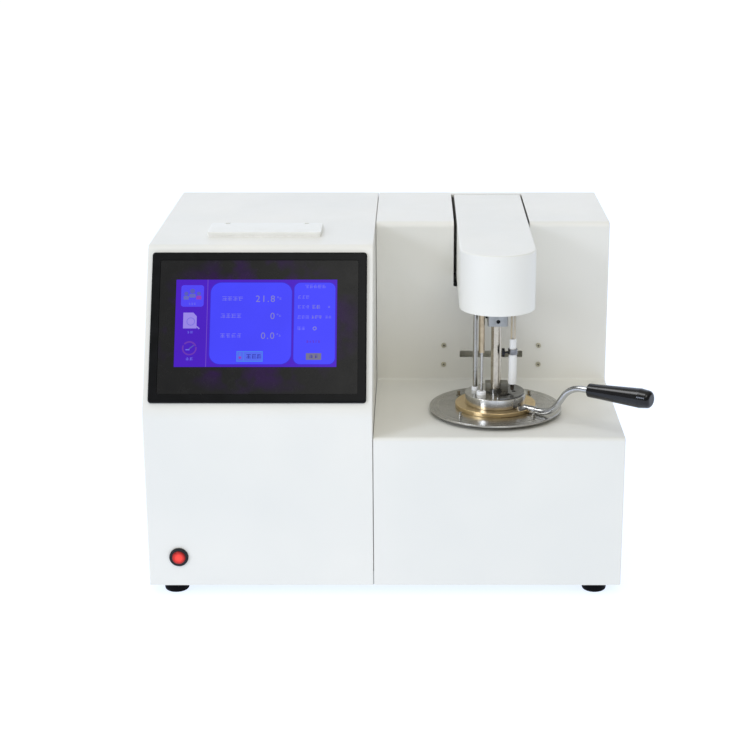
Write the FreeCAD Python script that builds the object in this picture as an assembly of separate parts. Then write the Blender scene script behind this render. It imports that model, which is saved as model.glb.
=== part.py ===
"""Automatic closed-cup flash point tester: every piece is its own solid.

All lengths are millimetres. While it is modelled, X runs from the left side of the housing to its right,
Y from the front plane to the rear and Z up from the bench. The finished pieces are then moved so that the
origin is the middle of the underside of the whole instrument, the handle of the cup included.
The test head (cup, lid, stirrer, shutter, igniter, probes) is built about its own vertical axis, with its
heights counted from the top of the table that it stands on.
"""
import FreeCAD
import Part
import math
import os

Vector = FreeCAD.Vector

# Shared clearances and the overrun of cuts
CUT = 6.0
FIT_GAP = 0.3
SNUG_GAP = 0.05
RUN_GAP = 0.08

# Housing: left cabinet with the sloped panel, right section with the table and the riser
HOUSING_WIDTH = 456.0
HOUSING_DEPTH = 352.4
HOUSING_HEIGHT = 318.0
SHEET = 1.5
EDGE_ROUND = 1.1
SEAM_GAP = 0.6
LEFT_WIDTH = 216.7
FRONT_BREAK = 175.3
PANEL_SETBACK = 83.9
BREAK_RADIUS = 18.0
CREST_RADIUS = 8.0
TABLE_HEIGHT = 150.4
TABLE_EDGE_RADIUS = 4.0
RISER_SETBACK = 191.2
RISER_TOP_RADIUS = 6.0
RISER_FOOT_RADIUS = 2.0
REAR_LEDGE = 11.0

# Side louvres, one group low on each side wall
LOUVRE_COUNT = 7
LOUVRE_LENGTH = 62.0
LOUVRE_WIDTH = 3.0
LOUVRE_PITCH = 9.0
LOUVRE_REAR_MARGIN = 52.0
LOUVRE_LOW = 34.0

# Base pan and feet
PAN_LIP = 14.0
PAN_CORNER = 3.0
PAN_SLOT_COUNT = 8
PAN_SLOT_LENGTH = 44.0
PAN_SLOT_WIDTH = 4.0
PAN_SLOT_PITCH = 11.0
FOOT_HEIGHT = 10.0
FOOT_TOP_RADIUS = 12.4
FOOT_BASE_RADIUS = 11.6
FOOT_ROUND = 2.6
FOOT_INSET_X = 24.2
FOOT_INSET_Y = 16.0
FOOT_RECESS_RADIUS = 4.5
FOOT_RECESS_DEPTH = 4.0
FOOT_SCREW_RADIUS = 2.2

# Screen on the sloped panel: raised frame, glass, display module behind it
BEZEL_WIDTH = 205.8
BEZEL_HEIGHT = 148.2
BEZEL_X = 108.1
BEZEL_UP = 83.4
BEZEL_THICK = 3.4
BEZEL_CORNER = 3.0
BEZEL_ROUND = 1.8
BEZEL_BORDER = 8.0
GLASS_THICK = 2.0
GLASS_SINK = 0.5
GLASS_CORNER = 1.5
SCREEN_SHELF = 6.0
DISPLAY_WIDTH = 154.1
DISPLAY_HEIGHT = 85.9
DISPLAY_SHIFT_X = -2.4
DISPLAY_SHIFT_UP = 3.6
MODULE_BORDER = 8.0
MODULE_THICK = 9.0
MODULE_BOARD_INSET = 6.0
MODULE_BOARD_THICK = 1.6
MODULE_CHIP = 14.0
MODULE_CHIP_HEIGHT = 3.0

# Panel printer under a flip cover on the left cabinet's top
PRINTER_X = 108.8
PRINTER_FRONT = 119.9
PRINTER_WIDTH = 112.0
PRINTER_LENGTH = 44.6
PRINTER_FLANGE = 1.2
PRINTER_REAR_RIM = 3.0
PRINTER_LID_THICK = 3.6
PRINTER_LID_CORNER = 3.0
PRINTER_LID_ROUND = 1.0
PRINTER_INSET = 2.0
PRINTER_DEPTH = 52.0
PRINTER_WALL = 2.0
PRINTER_PIN_RADIUS = 1.5
PRINTER_PIN_LENGTH = 5.0
PRINTER_PIN_SETBACK = 0.8
PRINTER_EAR = 4.0
PRINTER_EAR_INSET = 16.5
PRINTER_EAR_WALL = 1.2
PRINTER_EAR_CROWN = 0.6
PLATEN_RADIUS = 4.0
PLATEN_LENGTH = 60.0
PLATEN_JOURNAL_RADIUS = 1.5
PLATEN_JOURNAL = 4.0
PLATEN_SETBACK = 9.5
PLATEN_CHEEK = 3.0
ROLL_RADIUS = 15.0
ROLL_CORE_RADIUS = 6.0
ROLL_LENGTH = 57.5
ROLL_FLOOR_GAP = 0.2

# Illuminated push button
BUTTON_X = 29.3
BUTTON_UP = 29.6
BUTTON_RING_RADIUS = 9.2
BUTTON_RING_THICK = 2.2
BUTTON_RING_ROUND = 0.7
BUTTON_BARREL_RADIUS = 7.9
BUTTON_BORE_RADIUS = 6.5
BUTTON_BARREL_LENGTH = 16.0
BUTTON_NUT_RADIUS = 11.0
BUTTON_NUT_THICK = 3.0
BUTTON_CAP_RADIUS = 6.4
BUTTON_CAP_PROUD = 3.6
BUTTON_CAP_DEPTH = 9.0
BUTTON_CAP_ROUND = 1.2
BUTTON_BODY_RADIUS = 7.4
BUTTON_BODY_LENGTH = 20.0
BUTTON_TAB_WIDTH = 2.8
BUTTON_TAB_THICK = 0.8
BUTTON_TAB_LENGTH = 7.0
BUTTON_TAB_SPREAD = 3.6

# Control board and power supply on the pan of the left cabinet
BOARD_X = 30.0
BOARD_Y = 60.0
BOARD_WIDTH = 150.0
BOARD_LENGTH = 96.0
BOARD_THICK = 1.6
BOARD_STANDOFF = 10.0
BOARD_STANDOFF_RADIUS = 3.0
BOARD_STANDOFF_INSET = 6.0
BOARD_CHIP = 16.0
BOARD_CHIP_HEIGHT = 2.4
BOARD_PLUG_COUNT = 3
BOARD_PLUG_LENGTH = 22.0
BOARD_PLUG_WIDTH = 8.0
BOARD_PLUG_HEIGHT = 9.0
BOARD_RELAY_COUNT = 3
BOARD_RELAY = 18.0
BOARD_RELAY_HEIGHT = 15.0
SUPPLY_X = 24.0
SUPPLY_Y = 190.0
SUPPLY_WIDTH = 159.0
SUPPLY_LENGTH = 98.0
SUPPLY_HEIGHT = 38.0
SUPPLY_SHELL = 1.2
SUPPLY_SLOT_COUNT = 9
SUPPLY_SLOT_WIDTH = 4.0
SUPPLY_SLOT_LENGTH = 60.0
SUPPLY_SLOT_PITCH = 13.0
SUPPLY_SLOT_DEPTH = 8.0

# Mains inlet with its fuse drawer, low on the left rear panel
INLET_X = 52.0
INLET_UP = 78.0
INLET_FLANGE_WIDTH = 50.0
INLET_FLANGE_HEIGHT = 40.0
INLET_FLANGE_THICK = 3.0
INLET_CORNER = 4.0
INLET_BODY_WIDTH = 30.0
INLET_BODY_HEIGHT = 34.0
INLET_BODY_DEPTH = 26.0
INLET_SOCKET_WIDTH = 24.2
INLET_SOCKET_HEIGHT = 16.5
INLET_SOCKET_DEPTH = 17.0
INLET_SOCKET_RISE = 5.5
INLET_SOCKET_CORNER = 3.0
INLET_PIN_WIDTH = 2.0
INLET_PIN_HEIGHT = 4.0
INLET_PIN_LENGTH = 14.0
INLET_PIN_SPREAD = 7.0
INLET_PIN_DROP = 2.0
FUSE_WIDTH = 24.0
FUSE_HEIGHT = 8.0
FUSE_DROP = 11.5
FUSE_PROUD = 1.2

# Cooling fan and guard on the left rear panel
FAN_X = 132.0
FAN_UP = 205.0
FAN_SIZE = 80.0
FAN_DEPTH = 25.0
FAN_CORNER = 5.0
FAN_BORE_RADIUS = 38.0
FAN_HOLE_PITCH = 71.5
FAN_HOLE_RADIUS = 2.2
FAN_HUB_RADIUS = 16.0
FAN_HUB_DEPTH = 17.0
FAN_HUB_WALL = 1.6
FAN_HUB_ROUND = 1.5
FAN_BLADE_COUNT = 7
FAN_BLADE_RADIUS = 36.8
FAN_BLADE_THICK = 1.4
FAN_BLADE_DEPTH = 15.0
FAN_BLADE_ROOT_TURN = 42.0
FAN_BLADE_TIP_TURN = 24.0
FAN_SPIDER_THICK = 3.0
FAN_SPIDER_WIDTH = 4.0
FAN_SPIDER_COUNT = 4
FAN_SHAFT_RADIUS = 1.5
FAN_SIDE_GAP = 1.0
GUARD_WIRE_RADIUS = 0.9
GUARD_RING_COUNT = 5
GUARD_RING_FIRST = 8.0
GUARD_RING_PITCH = 7.5
GUARD_STANDOFF = 4.5
GUARD_WELD = 1.0
GUARD_KNEE_SHARE = 0.86
GUARD_EYE_RADIUS = 4.0

# Rear vents of both rear panels
REAR_SLOT_COUNT = 8
REAR_SLOT_LENGTH = 70.0
REAR_SLOT_WIDTH = 3.4
REAR_SLOT_PITCH = 10.0
REAR_SLOT_UP = 60.0

# Axis of the test head
HEAD_X = 336.2
HEAD_Y = 83.0

# Air bath below the table: tray on legs, cast block, band heater, insulated jacket, cover disc
TABLE_HOLE_RADIUS = 53.0
DISC_RADIUS = 65.1
DISC_THICK = 2.0
DISC_LIFT = 3.8
DISC_EDGE_ROUND = 0.5
DISC_HOLE_GAP = 1.2
POST_RADIUS = 1.6
POST_HEIGHT = 4.6
POST_WASHER_RADIUS = 2.6
POST_WASHER_THICK = 0.8
POST_PITCH = 71.0
BLOCK_RADIUS = 46.0
CUP_SIDE_GAP = 4.5
BLOCK_FLOOR = 12.0
BLOCK_RIB_COUNT = 6
BLOCK_RIB_WIDTH = 6.0
BLOCK_RIB_HEIGHT = 4.0
CUP_AIR_GAP = 3.5
HEATER_THICK = 4.0
HEATER_HEIGHT = 32.0
HEATER_RISE = 6.0
HEATER_EAR = 8.0
HEATER_EAR_GAP = 4.0
JACKET_RADIUS = 66.0
JACKET_WALL = 9.0
JACKET_HEIGHT = 50.0
TRAY_SIZE = 140.0
TRAY_THICK = 2.0
TRAY_CORNER = 8.0
LEG_RADIUS = 4.0
LEG_INSET = 12.0

# Brass cup with its flange, after the standard closed cup
CUP_BORE_RADIUS = 25.4
CUP_WALL = 1.6
CUP_FLOOR = 2.4
CUP_DEPTH = 55.9
CUP_ROUND = 2.0
CUP_FLANGE_RADIUS = 39.6
CUP_FLANGE_THICK = 4.0
CUP_FLANGE_ROUND = 0.6
CUP_RIM_RISE = 8.0

# Handle of the cup: lug on the flange, bent rod, tapered grip
HANDLE_TURN = -35.0
HANDLE_RISE = 2.0
LUG_CLEARANCE = 1.3
LUG_OUTER = 46.5
LUG_BOSS_RADIUS = 3.8
LUG_BOSS_ROUND = 0.6
LUG_BOSS_SETBACK = 1.8
LUG_PLATE_WIDTH = 7.6
LUG_PLATE_THICK = 2.0
LUG_PLATE_START = 5.0
LUG_PLATE_END = -21.0
LUG_SCREW_TURN = -16.5
LUG_ROUND = 1.2
LUG_SCREW_RADIUS = 2.4
LUG_SCREW_HEIGHT = 1.8
ROD_RADIUS = 3.1
ROD_SINK = 3.0
ROD_LOW = 9.3
ROD_HIGH = 39.6
ROD_ELBOW_LOW = 64.1
ROD_ELBOW_HIGH = 84.0
ROD_BEND = 25.0
GRIP_START = 105.0
GRIP_END = 171.5
GRIP_START_RADIUS = 6.6
GRIP_WAIST_RADIUS = 7.0
GRIP_END_RADIUS = 9.4
GRIP_SHOULDER = 11.5
GRIP_ROUND = 4.2
GRIP_START_ROUND = 0.8
GRIP_TIP_INSET = 1.4
GRIP_BORE_DEPTH = 22.0

# Lid with its skirt, shutter plate, stop pins and probe bosses
LID_SKIRT_WALL = 2.6
LID_THICK = 2.4
LID_SKIRT_GAP = 0.4
LID_ROUND = 0.5
LID_FIT = 0.3
STOP_PIN_ORBIT = 27.2
STOP_PIN_RADIUS = 0.8
STOP_PIN_SHORT = 2.4
STOP_PIN_TALL = 6.0
STOP_PIN_SHORT_TURN = -88.2
STOP_PIN_TALL_TURN = -97.2
SHUTTER_INSET = 1.7
SHUTTER_THICK = 1.2
SHUTTER_FLOAT = 0.2
SHUTTER_HUB_RADIUS = 6.4
SHUTTER_HUB_HEIGHT = 1.8
SHUTTER_START = -84.0
SHUTTER_END = 102.0
SHUTTER_TRAVEL = 42.0
SHUTTER_TUBE_RADIUS = 3.75
DRIVER_LEFT = 10.0
DRIVER_RIGHT = 12.2
DRIVER_FRONT = 2.5
DRIVER_REAR = 9.0
DRIVER_HEIGHT = 8.0
DRIVER_ROUND = 0.8
DRIVER_TOP_ROUND = 0.4
SLOT_LEAD = 10.5
SLOT_TAIL = 6.5
SLOT_HALF_WIDTH = 2.6
PORT_RADIUS = 2.0
PORT_ORBIT = 18.0
PORT_FIRST_TURN = 32.0
PORT_SECOND_TURN = 92.0

# Probes in the lid
PROBE_X = -20.0
PROBE_Y = 6.5
PROBE_RADIUS = 2.3
PROBE_IMMERSION = 44.5
PROBE_BOSS_RADIUS = 3.3
PROBE_BOSS_HEIGHT = 3.6
DETECTOR_X = -14.4
DETECTOR_Y = -8.4
DETECTOR_RADIUS = 1.6
DETECTOR_IMMERSION = 9.0
DETECTOR_TIP_RADIUS = 2.6
DETECTOR_TIP_LENGTH = 3.0
DETECTOR_SLEEVE_RADIUS = 2.8
DETECTOR_SLEEVE_SHARE = 0.616
DETECTOR_BOSS_RADIUS = 4.6
DETECTOR_BOSS_HEIGHT = 3.3

# Stirrer: shaft with two propellers, guided by a sleeve
SHAFT_RADIUS = 2.0
SLEEVE_RADIUS = 5.0
SLEEVE_HUB_GAP = 0.8
STIRRER_END = -32.5
UPPER_PROP_HEIGHT = 4.0
UPPER_PROP_RADIUS = 9.5
LOWER_PROP_HEIGHT = -28.5
LOWER_PROP_RADIUS = 17.4
BLADE_WIDTH = 8.0
BLADE_THICK = 1.0
BLADE_PITCH = 45.0
BLADE_TWIST = 14.0
PROP_HUB_RADIUS = 3.6
PROP_HUB_HEIGHT = 7.0

# Electric igniter that dips as the shutter turns
IGNITER_X = 15.9
IGNITER_Y = -8.6
IGNITER_DIP = 7.0
IGNITER_HOLE_RADIUS = 3.0
COIL_RADIUS = 1.6
COIL_END = 24.5
CERAMIC_LIFT = 10.8
CERAMIC_SHOULDER_SHARE = 0.5885
CERAMIC_TOP_SHARE = 0.8144
CERAMIC_RADIUS = 4.0
CERAMIC_NECK_RADIUS = 3.4
CERAMIC_ROUND = 0.7
PUSH_ROD_RADIUS = 1.1
PUSH_ROD_SHIFT = 1.7
LEAD_RADIUS = 0.9
LEAD_SHIFT = -1.5
LEAD_SEAT = 8.0
LEAD_SPARE = 8.5
CLIP_HEIGHT = 5.1
CLIP_WALL = 1.2
CLIP_LIFT = 0.4
CLIP_SCREW_RADIUS = 0.9
CLIP_SCREW_DROP = 1.2
CLIP_SCREW_START = 7.8
CLIP_SCREW_HEAD_RADIUS = 4.3
CLIP_SCREW_HEAD = 2.8
CLIP_SCREW_ROUND = 0.6

# Clamp block below the arm
CLAMP_LEFT = 8.9
CLAMP_RIGHT = 10.8
CLAMP_FRONT = 12.0
CLAMP_REAR = 13.0
CLAMP_HEIGHT = 19.6
CLAMP_CORNER = 2.5
CLAMP_SCREW_RADIUS = 2.0
CLAMP_SCREW_DEPTH = 4.0
CLAMP_SCREW_X = 1.3
CLAMP_SCREW_DROP = 14.8
CLAMP_RECESS = 0.9
SIDE_SCREW_RADIUS = 1.6
SIDE_SCREW_PROUD = 2.1
SIDE_SCREW_DEPTH = 3.0
SIDE_SCREW_Y = -2.0
SIDE_SCREW_DROP = 12.3

# Lift arm
ARM_WIDTH = 73.0
ARM_FRONT = 34.3
ARM_REAR = 340.0
ARM_HEIGHT = 58.3
ARM_WALL = 2.0
ARM_TOP_ROUND = 1.6
ARM_FLOOR_THICK = 3.0
ARM_SLOT_LEFT = 3.2
ARM_SLOT_RIGHT = 1.4
ARM_SLOT_DROP = 9.3
ARM_SLOT_REAR = 1.2
ARM_SLOT_CORNER = 1.9

# Drives inside the arm
ACTUATOR_RADIUS = 11.8
ACTUATOR_HEIGHT = 16.0
ACTUATOR_LEDGE = 3.0
MOTOR_RADIUS = 11.8
MOTOR_HEIGHT = 24.0
MOTOR_SPACER = 3.0
MOTOR_BORE_DEPTH = 9.0
SOLENOID_SIZE = 12.0
SOLENOID_HEIGHT = 22.0
SOLENOID_LIFT = 14.0
SOLENOID_FOOT = 2.0
SOLENOID_STROKE_SPARE = 4.0

# Lift inside the riser: frame, two guide rods, screw, motor, carriage, mast
LIFT_Y = 276.0
LIFT_PLATE_WIDTH = 80.0
LIFT_PLATE_THICK = 4.0
LIFT_PLATE_SETBACK = 24.0
LIFT_FOOT = 26.0
LIFT_TOP = 248.0
LIFT_SHELF_THICK = 5.0
LIFT_SHELF_FRONT = 22.0
LIFT_CAP_FRONT = 13.0
GUIDE_RADIUS = 5.0
GUIDE_SPREAD = 26.0
SCREW_RADIUS = 4.0
SCREW_SEAT = 5.0
LIFT_MOTOR_SIZE = 42.3
LIFT_MOTOR_HEIGHT = 40.0
LIFT_MOTOR_CHAMFER = 4.0
LIFT_MOTOR_LIFT = 2.0
CARRIAGE_WIDTH = 76.0
CARRIAGE_DEPTH = 34.0
CARRIAGE_HEIGHT = 40.0
CARRIAGE_REST = 4.0
MAST_WIDTH = 42.0
MAST_THICK = 5.0
MAST_FLANGE = 32.0
MAST_RIB = 5.0
MAST_RIB_REACH = 24.0

# Slot in the riser wall, its backing tray and four screws
WALL_SLOT_WIDTH = 65.2
WALL_SLOT_HEIGHT = 7.0
WALL_SLOT_UP = 27.7
WALL_SLOT_CORNER = 0.8
WALL_SCREW_PITCH_X = 98.6
WALL_SCREW_PITCH_Z = 20.5
WALL_SCREW_UP = 26.9
WALL_SCREW_RADIUS = 2.6
WALL_SCREW_HEAD = 1.6
WALL_SCREW_SHANK = 1.4
WALL_SCREW_LENGTH = 6.0
BACKING_MARGIN = 6.0
BACKING_THICK = 1.2
BACKING_DEPTH = 14.0
BACKING_RIM = 2.5

# Heights and places that follow from the values above
HOUSING_BOTTOM = FOOT_HEIGHT
HOUSING_TOP = FOOT_HEIGHT + HOUSING_HEIGHT
PAN_TOP = FOOT_HEIGHT + SHEET
TABLE_TOP = FOOT_HEIGHT + TABLE_HEIGHT
RIGHT_START = LEFT_WIDTH + SEAM_GAP
PANEL_TILT = math.degrees(math.atan2(PANEL_SETBACK, HOUSING_HEIGHT - FRONT_BREAK))
DISC_TOP = DISC_LIFT + DISC_THICK
FLANGE_TOP = DISC_TOP + CUP_FLANGE_THICK
CUP_RIM = FLANGE_TOP + CUP_RIM_RISE
CUP_INSIDE = CUP_RIM - CUP_DEPTH
CUP_BOTTOM = CUP_INSIDE - CUP_FLOOR
CUP_OUTER_RADIUS = CUP_BORE_RADIUS + CUP_WALL
BLOCK_BOTTOM = CUP_BOTTOM - CUP_AIR_GAP - BLOCK_FLOOR
BLOCK_BORE_RADIUS = CUP_OUTER_RADIUS + CUP_SIDE_GAP
LID_RADIUS = CUP_OUTER_RADIUS + LID_FIT + LID_SKIRT_WALL
SHUTTER_RADIUS = LID_RADIUS - SHUTTER_INSET
LUG_INNER = LID_RADIUS + LUG_CLEARANCE
LID_TOP = CUP_RIM + LID_THICK
SHUTTER_BASE = LID_TOP + SHUTTER_FLOAT
SHUTTER_TOP = SHUTTER_BASE + SHUTTER_THICK
ARM_BOTTOM = HOUSING_TOP - ARM_HEIGHT - TABLE_TOP
ARM_FLOOR_TOP = ARM_BOTTOM + ARM_FLOOR_THICK
HEAD_ROOM = ARM_BOTTOM - CLAMP_HEIGHT - LID_TOP
SHUTTER_HUB_TOP = SHUTTER_TOP + SHUTTER_HUB_HEIGHT
SLEEVE_END = SHUTTER_HUB_TOP + SLEEVE_HUB_GAP
DETECTOR_SLEEVE_END = LID_TOP + DETECTOR_SLEEVE_SHARE * HEAD_ROOM
CERAMIC_START = LID_TOP + CERAMIC_LIFT
CERAMIC_SHOULDER = LID_TOP + CERAMIC_SHOULDER_SHARE * HEAD_ROOM
CERAMIC_TOP = LID_TOP + CERAMIC_TOP_SHARE * HEAD_ROOM
ARM_RADIUS = ARM_WIDTH / 2
SHELF_TOP = PAN_TOP + LIFT_MOTOR_LIFT + LIFT_MOTOR_HEIGHT + LIFT_SHELF_THICK
CARRIAGE_BOTTOM = SHELF_TOP + CARRIAGE_REST
ACTUATOR_BASE = ARM_FLOOR_TOP + ACTUATOR_LEDGE
MOTOR_BASE = ACTUATOR_BASE + ACTUATOR_HEIGHT + MOTOR_SPACER
IGNITER_ORBIT = math.hypot(IGNITER_X, IGNITER_Y)
IGNITER_TURN = math.degrees(math.atan2(IGNITER_Y, IGNITER_X))
PRINTER_REAR = PRINTER_FRONT + PRINTER_LENGTH
PRINTER_LID_BASE = HOUSING_TOP + PRINTER_FLANGE + FIT_GAP


def box(x0, x1, y0, y1, z0, z1):
    """Block between two corners."""
    return Part.makeBox(x1 - x0, y1 - y0, z1 - z0, Vector(x0, y0, z0))


def rod(radius, start, end):
    """Round bar between two points."""
    direction = end.sub(start)
    return Part.makeCylinder(radius, direction.Length, start, direction)


def rounded_wire(corners, place):
    """Closed outline through corners (a, b, radius), each rounded, set in space by place(a, b)."""
    count = len(corners)
    starts = []
    mids = []
    ends = []
    for i in range(count):
        a, b, radius = corners[i]
        here = Vector(a, b, 0)
        before = Vector(corners[i - 1][0], corners[i - 1][1], 0).sub(here).normalize()
        after = Vector(corners[(i + 1) % count][0], corners[(i + 1) % count][1], 0).sub(here).normalize()
        half = before.getAngle(after) / 2
        if radius <= 0:
            starts.append(here)
            mids.append(None)
            ends.append(here)
            continue
        reach = radius / math.tan(half)
        middle = before.add(after).normalize()
        starts.append(here.add(before.multiply(reach)))
        mids.append(here.add(middle.multiply(radius / math.sin(half) - radius)))
        ends.append(here.add(after.multiply(reach)))
    edges = []
    for i in range(count):
        if mids[i] is not None:
            arc = [place(p.x, p.y) for p in (starts[i], mids[i], ends[i])]
            edges.append(Part.Arc(*arc).toShape())
        start = ends[i]
        end = starts[(i + 1) % count]
        if start.distanceToPoint(end) > 1e-6:
            edges.append(Part.LineSegment(place(start.x, start.y), place(end.x, end.y)).toShape())
    return Part.Wire(edges)


def inset(corners, wall):
    """Outline moved inwards by a wall; bends keep one centre, so radii shrink or grow by the wall."""
    count = len(corners)
    area = 0
    for i in range(count):
        area += corners[i - 1][0] * corners[i][1] - corners[i][0] * corners[i - 1][1]
    side = 1 if area > 0 else -1
    moved = []
    for i in range(count):
        ax, ay = corners[i - 1][:2]
        bx, by, radius = corners[i]
        cx, cy = corners[(i + 1) % count][:2]
        first = Vector(bx - ax, by - ay, 0).normalize()
        second = Vector(cx - bx, cy - by, 0).normalize()
        turn = side * (first.x * second.y - first.y * second.x)
        inward = Vector(-side * (first.y + second.y), side * (first.x + second.x), 0).normalize()
        spread = math.cos(first.getAngle(second) / 2)
        reach = wall / spread
        bend = radius - wall if turn > 0 else radius + wall
        moved.append((bx + inward.x * reach, by + inward.y * reach, max(bend, 0) if radius else 0))
    return moved


def prism_x(corners, x0, x1):
    """Outline in Y and Z, drawn out along X."""
    wire = rounded_wire(corners, lambda a, b: Vector(x0, a, b))
    return Part.Face(wire).extrude(Vector(x1 - x0, 0, 0))


def prism_y(corners, y0, y1):
    """Outline in X and Z, drawn out along Y."""
    wire = rounded_wire(corners, lambda a, b: Vector(a, y0, b))
    return Part.Face(wire).extrude(Vector(0, y1 - y0, 0))


def prism_z(corners, z0, z1):
    """Outline in X and Y, drawn out along Z."""
    wire = rounded_wire(corners, lambda a, b: Vector(a, b, z0))
    return Part.Face(wire).extrude(Vector(0, 0, z1 - z0))


def rectangle(a0, a1, b0, b1, radius):
    """Corners of a rectangle with one radius."""
    return [(a0, b0, radius), (a1, b0, radius), (a1, b1, radius), (a0, b1, radius)]


def turned(profile, place):
    """Body of revolution about a vertical axis from corners (radius, height, rounding)."""
    wire = rounded_wire(profile, lambda a, b: Vector(a, 0, b))
    body = Part.Face(wire).revolve(Vector(0, 0, 0), Vector(0, 0, 1), 360)
    body.translate(place)
    return body


def joined(shapes):
    """One solid from shapes that touch or overlap."""
    return shapes[0].fuse(shapes[1:]).removeSplitter()


def grouped(shapes):
    """Separate solids of one kind kept together."""
    return Part.makeCompound(shapes)


def rounded_edges(shape, radius, wanted):
    """Rounds the edges that the test picks."""
    edges = [edge for edge in shape.Edges if wanted(edge)]
    return shape.makeFillet(radius, edges)


def at_height(edge, height):
    """Whether an edge lies wholly at one height."""
    bounds = edge.BoundBox
    return abs(bounds.ZMin - height) < SNUG_GAP and abs(bounds.ZMax - height) < SNUG_GAP


def head(x, y, z):
    """Point given from the head's axis and the table's top."""
    return Vector(HEAD_X + x, HEAD_Y + y, TABLE_TOP + z)


def head_rod(radius, x, y, z0, z1):
    """Vertical bar given from the head's axis and the table's top."""
    return rod(radius, head(x, y, z0), head(x, y, z1))


def orbit(radius, turn):
    """Offset from an axis at a turn in degrees."""
    return radius * math.cos(math.radians(turn)), radius * math.sin(math.radians(turn))


def on_panel(shape):
    """Moves a shape drawn flat (X, up the slope, outwards) onto the sloped panel."""
    turn = FreeCAD.Rotation(Vector(1, 0, 0), 90 - PANEL_TILT)
    shape.Placement = FreeCAD.Placement(Vector(0, 0, HOUSING_BOTTOM + FRONT_BREAK), turn)
    return shape


def panel_slab(width, height, low, high, radius, shift_x=0, shift_up=0):
    """Flat piece centred on the bezel, between two levels of the sloped panel."""
    x0 = BEZEL_X + shift_x - width / 2
    y0 = BEZEL_UP + shift_up - height / 2
    return prism_z(rectangle(x0, x0 + width, y0, y0 + height, radius), low, high)


def slots_y(count, length, width, pitch, x, z0, y0, y1):
    """Row of round-ended slots cut through a rear wall, one above the other."""
    cuts = []
    for i in range(count):
        low = z0 + i * pitch
        cuts.append(prism_y(rectangle(x, x + length, low, low + width, width / 2 - SNUG_GAP), y0, y1))
    return cuts


def left_outline(overrun):
    """Side outline of the left cabinet; the overrun opens its bottom and rear."""
    return [
        (0, HOUSING_BOTTOM - overrun, 0),
        (HOUSING_DEPTH + overrun, HOUSING_BOTTOM - overrun, 0),
        (HOUSING_DEPTH + overrun, HOUSING_TOP, 0),
        (PANEL_SETBACK, HOUSING_TOP, CREST_RADIUS),
        (0, HOUSING_BOTTOM + FRONT_BREAK, BREAK_RADIUS),
    ]


def right_outline(overrun):
    """Side outline of the table and the riser; the overrun opens its bottom and rear."""
    return [
        (0, HOUSING_BOTTOM - overrun, 0),
        (HOUSING_DEPTH + overrun, HOUSING_BOTTOM - overrun, 0),
        (HOUSING_DEPTH + overrun, HOUSING_TOP, 0),
        (RISER_SETBACK, HOUSING_TOP, RISER_TOP_RADIUS),
        (RISER_SETBACK, TABLE_TOP, RISER_FOOT_RADIUS),
        (0, TABLE_TOP, TABLE_EDGE_RADIUS),
    ]


def side_edge(edge, x):
    """Whether an edge runs round the front, panel or top of a side wall at x."""
    bounds = edge.BoundBox
    on_side = abs(bounds.XMin - x) < SNUG_GAP and abs(bounds.XMax - x) < SNUG_GAP
    bottom = bounds.ZMax < HOUSING_BOTTOM + SNUG_GAP
    rear = bounds.YMin > HOUSING_DEPTH - SNUG_GAP
    return on_side and not bottom and not rear


def side_louvres(x0, x1):
    """Round-ended slots low at the rear of a side wall."""
    cuts = []
    y1 = HOUSING_DEPTH - LOUVRE_REAR_MARGIN
    for i in range(LOUVRE_COUNT):
        low = HOUSING_BOTTOM + LOUVRE_LOW + i * LOUVRE_PITCH
        corners = rectangle(y1 - LOUVRE_LENGTH, y1, low, low + LOUVRE_WIDTH, LOUVRE_WIDTH / 2 - SNUG_GAP)
        cuts.append(prism_x(corners, x0, x1))
    return cuts


def printer_bounds(margin):
    """Plan limits of the printer cover, drawn in by a margin."""
    x0 = PRINTER_X - PRINTER_WIDTH / 2 + margin
    x1 = PRINTER_X + PRINTER_WIDTH / 2 - margin
    return x0, x1, PRINTER_FRONT + margin, PRINTER_REAR - margin


def left_cover():
    """Folded sheet shell of the left cabinet, open below and behind."""
    body = prism_x(left_outline(0), 0, LEFT_WIDTH)
    body = rounded_edges(body, EDGE_ROUND, lambda e: side_edge(e, 0) or side_edge(e, LEFT_WIDTH))
    hollow = prism_x(inset(left_outline(CUT), SHEET), SHEET, LEFT_WIDTH - SHEET)
    foot_room = box(LEFT_WIDTH - SHEET - CUT, LEFT_WIDTH + CUT, SHEET, HOUSING_DEPTH + CUT,
                    HOUSING_BOTTOM - CUT, HOUSING_BOTTOM + PAN_LIP + FIT_GAP)
    opening_width = BEZEL_WIDTH - 2 * BEZEL_BORDER - 2 * SCREEN_SHELF
    opening_height = BEZEL_HEIGHT - 2 * BEZEL_BORDER - 2 * SCREEN_SHELF
    window = on_panel(panel_slab(opening_width, opening_height, -CUT, CUT, GLASS_CORNER))
    x0, x1, y0, y1 = printer_bounds(PRINTER_INSET + PRINTER_WALL)
    bay = box(x0, x1, y0, y1, HOUSING_TOP - CUT, HOUSING_TOP + CUT)
    button = rod(BUTTON_BARREL_RADIUS + SNUG_GAP, button_point(-CUT), button_point(CUT))
    cuts = [hollow, foot_room, window, bay, button] + side_louvres(-CUT, CUT)
    return body.cut(cuts)


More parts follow.
